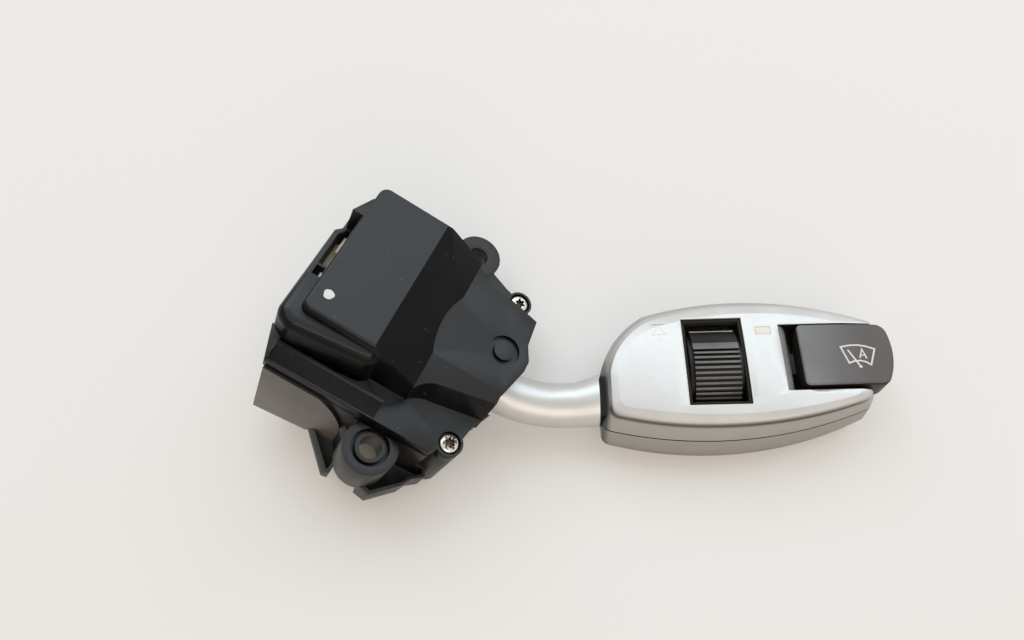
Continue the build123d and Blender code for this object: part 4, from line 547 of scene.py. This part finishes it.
def printed(name, strokes, low, high, place, body, finish):
    """Strokes of paint on a face: each is (flat points, width, closed), laid between two heights."""
    vertices, faces = [], []
    for points, width, closed in strokes:
        left, right = ribbon(points, width, closed)
        start = len(vertices)
        count = len(points)
        for a, b in zip(left, right):
            vertices += [place(a.x, a.y, high), place(b.x, b.y, high),
                         place(b.x, b.y, low), place(a.x, a.y, low)]
        for i in range(count if closed else count - 1):
            a, b = start + 4 * i, start + 4 * ((i + 1) % count)
            for k in range(4):
                faces.append((a + k, a + (k + 1) % 4, b + (k + 1) % 4, b + k))
        if not closed:
            end = start + 4 * (count - 1)
            faces += [(start, start + 3, start + 2, start + 1), (end, end + 1, end + 2, end + 3)]
    return add_piece(name, vertices, faces, body, finish, True)


def turned(name, rings, place, body, finish):
    """A turned form: each ring is (list of flat points, height), joined from the first to the last."""
    vertices, faces = [], []
    for points, height in rings:
        vertices += [place(x, y, height) for x, y in points]
    count = len(rings[0][0])
    for level in range(len(rings) - 1):
        for i in range(count):
            a, b = level * count + i, level * count + (i + 1) % count
            faces.append((a, b, b + count, a + count))
    faces.append(tuple(range(count)))
    last = (len(rings) - 1) * count
    faces.append(tuple(last + i for i in range(count)))
    return add_piece(name, vertices, faces, body, finish)


# ---------------------------------------------------------------- cover screws: pan heads, six-lobed recess
SCREW_PLACES = [(16.0, -22.75), (16.0, 22.75)]
SCREW_SEAT, SCREW_TIP, SCREW_TOP = 2.4, -8.6, 4.2
SCREW_RADIUS, HEAD_RADIUS = 1.5, 2.6
LOBES, LOBE_RADIUS, LOBE_DEPTH = 6, 1.1, 0.24
SCREW_RING_POINTS = 72
# from the tip, over the head and down to the recess's floor: (radius, swell of the lobes, height)
SCREW_PROFILE = [
    (SCREW_RADIUS * 0.55, 0.0, SCREW_TIP),
    (SCREW_RADIUS, 0.0, SCREW_TIP + 1.2),
    (SCREW_RADIUS, 0.0, SCREW_SEAT),
    (HEAD_RADIUS, 0.0, SCREW_SEAT),
    (HEAD_RADIUS, 0.0, SCREW_SEAT + 0.7),
    (HEAD_RADIUS * 0.965, 0.0, SCREW_SEAT + 1.15),
    (HEAD_RADIUS * 0.86, 0.0, SCREW_SEAT + 1.5),
    (HEAD_RADIUS * 0.7, 0.0, SCREW_TOP - 0.08),
    (LOBE_RADIUS + 0.12, LOBE_DEPTH, SCREW_TOP),
    (LOBE_RADIUS, LOBE_DEPTH, SCREW_TOP - 0.1),
    (LOBE_RADIUS * 0.95, LOBE_DEPTH, SCREW_TOP - 1.1),
    (0.5, 0.0, SCREW_TOP - 1.35),
]
RECESS_DEPTH_LEAST, RECESS_DEPTH_MOST = 0.04, 1.4
RECESS_REACH, RECESS_RADIUS = 1.9, 1.62


def ring(x, y, radius, lobes):
    """Points round a circle whose radius swells at the lobes."""
    angles = [2 * math.pi * i / SCREW_RING_POINTS for i in range(SCREW_RING_POINTS)]
    return [(x + (radius + lobes * math.cos(LOBES * a)) * math.cos(a),
             y + (radius + lobes * math.cos(LOBES * a)) * math.sin(a)) for a in angles]


def in_screw_recess(centre, x, y):
    """The walls and floor of the recess of the screw at a place."""
    away = centre - housing(x, y, SCREW_TOP)
    depth = -away.dot(COLUMN_AXIS) / MM
    return (RECESS_DEPTH_LEAST < depth < RECESS_DEPTH_MOST and away.length < RECESS_REACH * MM
            and (away + COLUMN_AXIS * depth * MM).length < RECESS_RADIUS * MM)


def cover_screw_pieces():
    """The two screws, which stand for the node of both."""
    parts = []
    for i, (x, y) in enumerate(SCREW_PLACES, 1):
        rings = [(ring(x, y, radius, lobes), height) for radius, lobes, height in SCREW_PROFILE]
        parts.append(turned(f"cover_screw_{i}", rings, housing, "switch_box", "zinc_steel"))
    for part, (x, y) in zip(parts, SCREW_PLACES):
        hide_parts("cover_screws")
        # the recess's walls and floor are painted dark: painted shade
        repaint_faces(part, lambda c, n, x=x, y=y: in_screw_recess(c, x, y), "screw_recess")


# ---------------------------------------------------------------- the crowned top of handle and button
TOP_HEIGHT, BUTTON_HEIGHT, BEZEL_HEIGHT = 19.0, 19.4, 18.5
CROWN_MIDDLE, CROWN_HALF, CROWN_POWER, CROWN_FALL = 1.0, 15.0, 2.2, 0.75
ROOT_START, ROOT_SPAN, ROOT_FALL = -14.0, 20.0, 0.55
TIP_START, TIP_SPAN, TIP_FALL = 20.0, 15.0, 0.4
SHELL_FADE, BEZEL_FADE, LENS_FADE, FADE_RATE = 6.8, 1.0, 0.8, 1.5
BUTTON_START, BUTTON_SPAN, BUTTON_FALL = 19.0, 18.0, 1.1
BUTTON_FADE_DEPTH, BUTTON_FADE = 3.0, 2.0


def crown_drop(x, y):
    """How far the handle's skin lies below its top plane."""
    across = CROWN_FALL * (abs(y - CROWN_MIDDLE) / CROWN_HALF) ** CROWN_POWER
    root = ROOT_FALL * (max(0.0, ROOT_START - x) / ROOT_SPAN) ** 2
    tip = TIP_FALL * (max(0.0, x - TIP_START) / TIP_SPAN) ** 2
    return across + root + tip


def button_drop(x, y):
    """How far the end button's skin lies below its top plane."""
    return BUTTON_FALL * (max(0.0, x - BUTTON_START) / BUTTON_SPAN) ** 2


def on_crown(x, y, z):
    """A point of the handle's frame, lowered by the crown."""
    return grip(x, y, z - crown_drop(x, y))


def on_button(x, y, z):
    """A point of the handle's frame, lowered by the end button's crown."""
    return grip(x, y, z - button_drop(x, y))


def crowned(top, fade):
    """A reshape that lowers what is near a height by the crown, fading out below it."""
    def reshape(point):
        p = to_grip(point)
        share = min(1.0, max(0.0, (p.z - (top - fade)) / fade * FADE_RATE))
        return grip(p.x, p.y, p.z - crown_drop(p.x, p.y) * share)
    return reshape


def button_shape(point):
    """A reshape that lowers the top of the end button towards its tip."""
    p = to_grip(point)
    share = min(1.0, max(0.0, (p.z - (BUTTON_HEIGHT - BUTTON_FADE_DEPTH)) / BUTTON_FADE))
    return grip(p.x, p.y, p.z - button_drop(p.x, p.y) * share)


# ---------------------------------------------------------------- signs, painted highlights on lips, and the dab of paint
WHEEL_Y, WHEEL_Z, WHEEL_RADIUS = 1.7, 8.3, 12.5
RIBS_FROM, RIB_SLACK = 69.0, 0.2  # degrees round the wheel, mm below the ribs' tops
WHEEL_LIP_ENDS, WHEEL_LIP_RISE, WHEEL_LIP_SUNK = (-12.6, -1.4), 0.1, 0.1
WHEEL_LIP_ANGLE, WHEEL_LIP_SPREAD = 45.5, 1.2  # degrees
SIGN_RISE, LIP_RISE, LIP_SUNK = 0.03, 0.04, 0.3
LIP_WIDTH, LIP_STEP = 0.22, 2.5
OPENING_LIP = [(-14.9, -10.35), (0.95, -10.35), (0.95, 13.85), (-14.9, 13.85)]


def arc(centre, radius, start, end, steps):
    """Points of an arc between two angles in degrees."""
    angles = [math.radians(start + (end - start) * i / steps) for i in range(steps + 1)]
    return [(centre[0] + radius * math.cos(a), centre[1] + radius * math.sin(a)) for a in angles]


# the strokes of each sign: flat points, width, closed
PARK_SIGN = [
    ([(-22.5, 12.7), (-18.8, 12.7)], 0.32, False),
    ([(-20.65, 11.95), (-22.5, 9.4), (-18.95, 9.4)], 0.3, True),
    ([(-21.5, 7.4), (-20.9, 8.7), (-20.2, 7.4)], 0.2, False),
]
WINDSCREEN = [(24.5, 4.2), (26.6, 4.62), (28.79, 4.72), (31.0, 4.36), (33.06, 3.65),
              (31.33, -0.7), (30.1, 0.1), (28.87, 0.43), (27.4, 0.32), (25.9, -0.24)]
WIPER_SIGN = [
    (WINDSCREEN, 0.42, True),
    ([(26.15, 3.4), (28.6, -1.25)], 0.44, False),
    ([(28.85, 1.15), (29.78, 3.6), (30.55, 1.0)], 0.42, False),
    ([(29.15, 1.95), (30.3, 1.85)], 0.3, False),
    (arc((28.6, -1.2), 0.2, 0, 315, 7), 0.4, True),
]
DAB_X, DAB_Y, DAB_Z, DAB_RADIUS, DAB_POINTS = -26.1, -12.8, 20.0, 1.25, 48
DAB_PROFILE = ((1.0, 0.0), (0.97, 0.05), (0.8, 0.09), (0.4, 0.11))  # share of the radius, rise
DAB_WAVES = ((3, 0.6, 0.05), (5, 0.0, 0.03))  # waves round the dab, phase, height as a share of the radius


def evenly(corners, step):
    """Points along a closed outline, no further apart than a step."""
    points = []
    for start, end in zip(corners, corners[1:] + corners[:1]):
        a, b = Vector(start), Vector(end)
        count = max(1, math.ceil((b - a).length / step))
        points += [tuple(a.lerp(b, i / count)) for i in range(count)]
    return points


def signs():
    """The printed signs, and a bright strip round the thumbwheel's opening, a painted highlight along its
    rim.
    """
    printed("park_sign", PARK_SIGN, TOP_HEIGHT, TOP_HEIGHT + SIGN_RISE, on_crown, BODY_OF["grip_top_shell"],
            "white_print_and_highlight")
    printed("wheel_opening_highlight", [(evenly(OPENING_LIP, LIP_STEP), LIP_WIDTH, True)], TOP_HEIGHT - LIP_SUNK,
            TOP_HEIGHT + LIP_RISE, on_crown, BODY_OF["grip_top_shell"], "white_print_and_highlight")
    printed("rain_wiper_sign", WIPER_SIGN, BUTTON_HEIGHT, BUTTON_HEIGHT + SIGN_RISE, on_button,
            BODY_OF["end_button"], "sign_paint")


def wheel_lip():
    """The raised lip where the thumbwheel's smooth band ends, painted light grey as a painted highlight."""
    foot, crest = WHEEL_RADIUS - WHEEL_LIP_SUNK, WHEEL_RADIUS + WHEEL_LIP_RISE
    corners = []
    for x in WHEEL_LIP_ENDS:
        for radius, turn in ((foot, -1), (crest, -0.5), (crest, 0.5), (foot, 1)):
            a = math.radians(WHEEL_LIP_ANGLE + turn * WHEEL_LIP_SPREAD)
            corners.append(grip(x, WHEEL_Y + radius * math.cos(a), WHEEL_Z + radius * math.sin(a)))
    faces = [(0, 1, 2, 3), (4, 5, 6, 7)] + [(k, (k + 1) % 4, 4 + (k + 1) % 4, 4 + k) for k in range(4)]
    add_piece("wheel_lip", corners, faces, BODY_OF["thumbwheel"], "wheel_lip", True)


def paint_dab():
    """An uneven round dab of white paint, thicker in the middle."""
    rings = []
    for share, rise in DAB_PROFILE:
        points = []
        for i in range(DAB_POINTS):
            a = 2 * math.pi * i / DAB_POINTS
            swell = 1
            for count, phase, height in DAB_WAVES:
                swell += height * math.sin(count * a + phase)
            points.append((DAB_X + DAB_RADIUS * share * swell * math.cos(a),
                           DAB_Y + DAB_RADIUS * share * swell * math.sin(a)))
        rings.append((points, DAB_Z + rise))
    turned("paint_dab", rings, housing, "switch_box", "dab_paint")


# ---------------------------------------------------------------- which edges and faces differ
# bounds along x, y and z of the handle's frame
ANY = (-math.inf, math.inf)
RIM_LEVEL = 17.0
WHEEL_OPENING = ((-15.4, 1.5), (-10.9, 14.4), ANY)
BUTTON_OPENING = ((9.3, math.inf), (-7.4, 11.7), ANY)
RECESS_END = ((9.5, 12.6), (-7.2, 11.5), (16.0, 18.98))
RECESS_SIDES = ((9.5, 37), (-7.2, 11.5), (-math.inf, 18.3))
SEAM_BOTTOM = 11.85
TENON_START = -36.75
BUTTON_END_X, BUTTON_END_Z, BUTTON_SIDE_Z = 14.8, 18.9, 19.0
# the box's deep end, in the switch box's frame
NEAR_WALL_SIDE, NEAR_WALL_END = -27.5, -8
# shares of a unit normal
SLOPED_LEAST, SLOPED_MOST = 0.3, 0.95
SQUARE, NEAR_SQUARE, MOSTLY, HALF, TILTED = 0.95, 0.9, 0.8, 0.5, 0.25


def within(point, bounds):
    """Whether a point lies inside its bounds along every axis."""
    return all(low < value < high for value, (low, high) in zip(point, bounds))


def on_outer_rim(point):
    """Away from the two openings in the handle's top."""
    p = to_grip(point)
    return p.z > RIM_LEVEL and not within(p, WHEEL_OPENING) and not within(p, BUTTON_OPENING)


def recess_end(centre, normal):
    """The sloped left wall of the end button's recess, painted a flat grey darker than the silver paint:
    painted shade.
    """
    return within(to_grip(centre), RECESS_END) and SLOPED_LEAST < normal.z < SLOPED_MOST


def recess_sides(centre, normal):
    """The two long walls of the end button's recess, painted near-black: painted shade."""
    return within(to_grip(centre), RECESS_SIDES) and abs(normal.y) > MOSTLY


def near_wall(centre, normal):
    """The near wall of the box's deep end, painted lighter than the base: painted light from the bright
    floor.
    """
    p = centre / MM
    return (normal.dot(-SIDE_DIRECTION) > SQUARE and p.dot(SIDE_DIRECTION) < NEAR_WALL_SIDE
            and p.dot(LEVER_DIRECTION) < NEAR_WALL_END)


def off_the_top(centre, normal):
    """The cover's slopes and walls, which are smoother than its grained flats, and painted darker and less
    shiny as painted shade.
    """
    return normal.dot(COLUMN_AXIS) < MOSTLY or normal.dot(LEVER_DIRECTION) > TILTED


def in_seam(centre, normal):
    """The groove along the handle's parting line."""
    return to_grip(centre).z > SEAM_BOTTOM


def button_sides(centre, normal):
    """The end button's inner end and its near side, painted near-black: painted shade."""
    p = to_grip(centre)
    return (p.x < BUTTON_END_X and p.z < BUTTON_END_Z) or (normal.y < -HALF and p.z < BUTTON_SIDE_Z)


def tenon_faces(centre, normal):
    """The neck's end inside the handle, painted near-black: painted shade in the gap."""
    return to_grip(centre).x > TENON_START


def bezel_rim(centre, normal):
    """The bezel's top and its faces across the handle, painted near-black: painted shade in the opening."""
    return normal.z > MOSTLY or abs(normal.x) > MOSTLY


def rib_tops(centre, normal):
    """The tops of the thumbwheel's ribs, painted lighter: a painted glint."""
    p = to_grip(centre)
    out = Vector((0, p.y - WHEEL_Y, p.z - WHEEL_Z))
    return (out.length > WHEEL_RADIUS - RIB_SLACK and normal.dot(out.normalized()) > NEAR_SQUARE
            and math.degrees(math.atan2(out.z, out.y)) > RIBS_FROM)


def steps(start, step, count):
    """Evenly spaced places."""
    return [start + step * i for i in range(count)]


# nodes whose edges are rounded: the width, and what differs from soften()'s own values
SOFTENED = {
    "top_cover": (0.4, {}),
    "base_housing": (0.3, {}),
    "connector_frame": (0.3, {}),
    "connector_header": (0.15, {}),
    "wheel_bezel": (0.2, {"cuts": [(Y, steps(-8, 3, 7))], "reshape": crowned(BEZEL_HEIGHT, BEZEL_FADE)}),
    "thumbwheel": (0.15, {}),
    "end_button": (0.5, {"cuts": [(X, [19, 22, 25, 28, 31, 34, 36])], "reshape": button_shape}),
    "indicator_lens": (0.12, {"reshape": crowned(TOP_HEIGHT, LENS_FADE)}),
    "lever_neck": (0.2, {}),
    "grip_top_shell": (0.3, {"angle": 56.0, "reshape": crowned(TOP_HEIGHT, SHELL_FADE), "rim": on_outer_rim,
                             "cuts": [(X, steps(-32, 3.5, 19)), (Y, steps(-13, 2.5, 13)), (Z, [17.7])]}),
    "grip_lower_shell": (0.25, {"angle": 50.0}),
    "shell_screws": (0.15, {}),
}
# faces given another finish: a dark joint in the seam, and painted light or shade on all the rest
SECOND_FINISH = {
    "grip_top_shell": [(recess_end, "recess_painted_shade"), (recess_sides, "dark_joint_and_shade")],
    "base_housing": [(near_wall, "near_wall_painted_light")],
    "top_cover": [(off_the_top, "smooth_shaded_cover")],
    "end_button": [(button_sides, "button_painted_shade")],
    "grip_lower_shell": [(in_seam, "dark_joint_and_shade")],
    "lever_neck": [(tenon_faces, "dark_joint_and_shade")],
    "wheel_bezel": [(bezel_rim, "dark_joint_and_shade")],
    "thumbwheel": [(rib_tops, "rib_painted_glint")],
}

# ---------------------------------------------------------------- the scene
make_camera()
make_world()
make_floor()
for lamp_name, lamp_values in LAMPS.items():
    area_light(lamp_name, *lamp_values)
for node_name in frame["nodes"]:
    paint_node(node_name)
for node_name, (edge_width, more_values) in SOFTENED.items():
    softened = soften(node_name, edge_width, **more_values)
    for chosen_faces, finish_name in SECOND_FINISH.get(node_name, ()):
        repaint_faces(softened, chosen_faces, finish_name)
cover_screw_pieces()
signs()
wheel_lip()
paint_dab()

bpy.context.scene.view_settings.view_transform = "Standard"
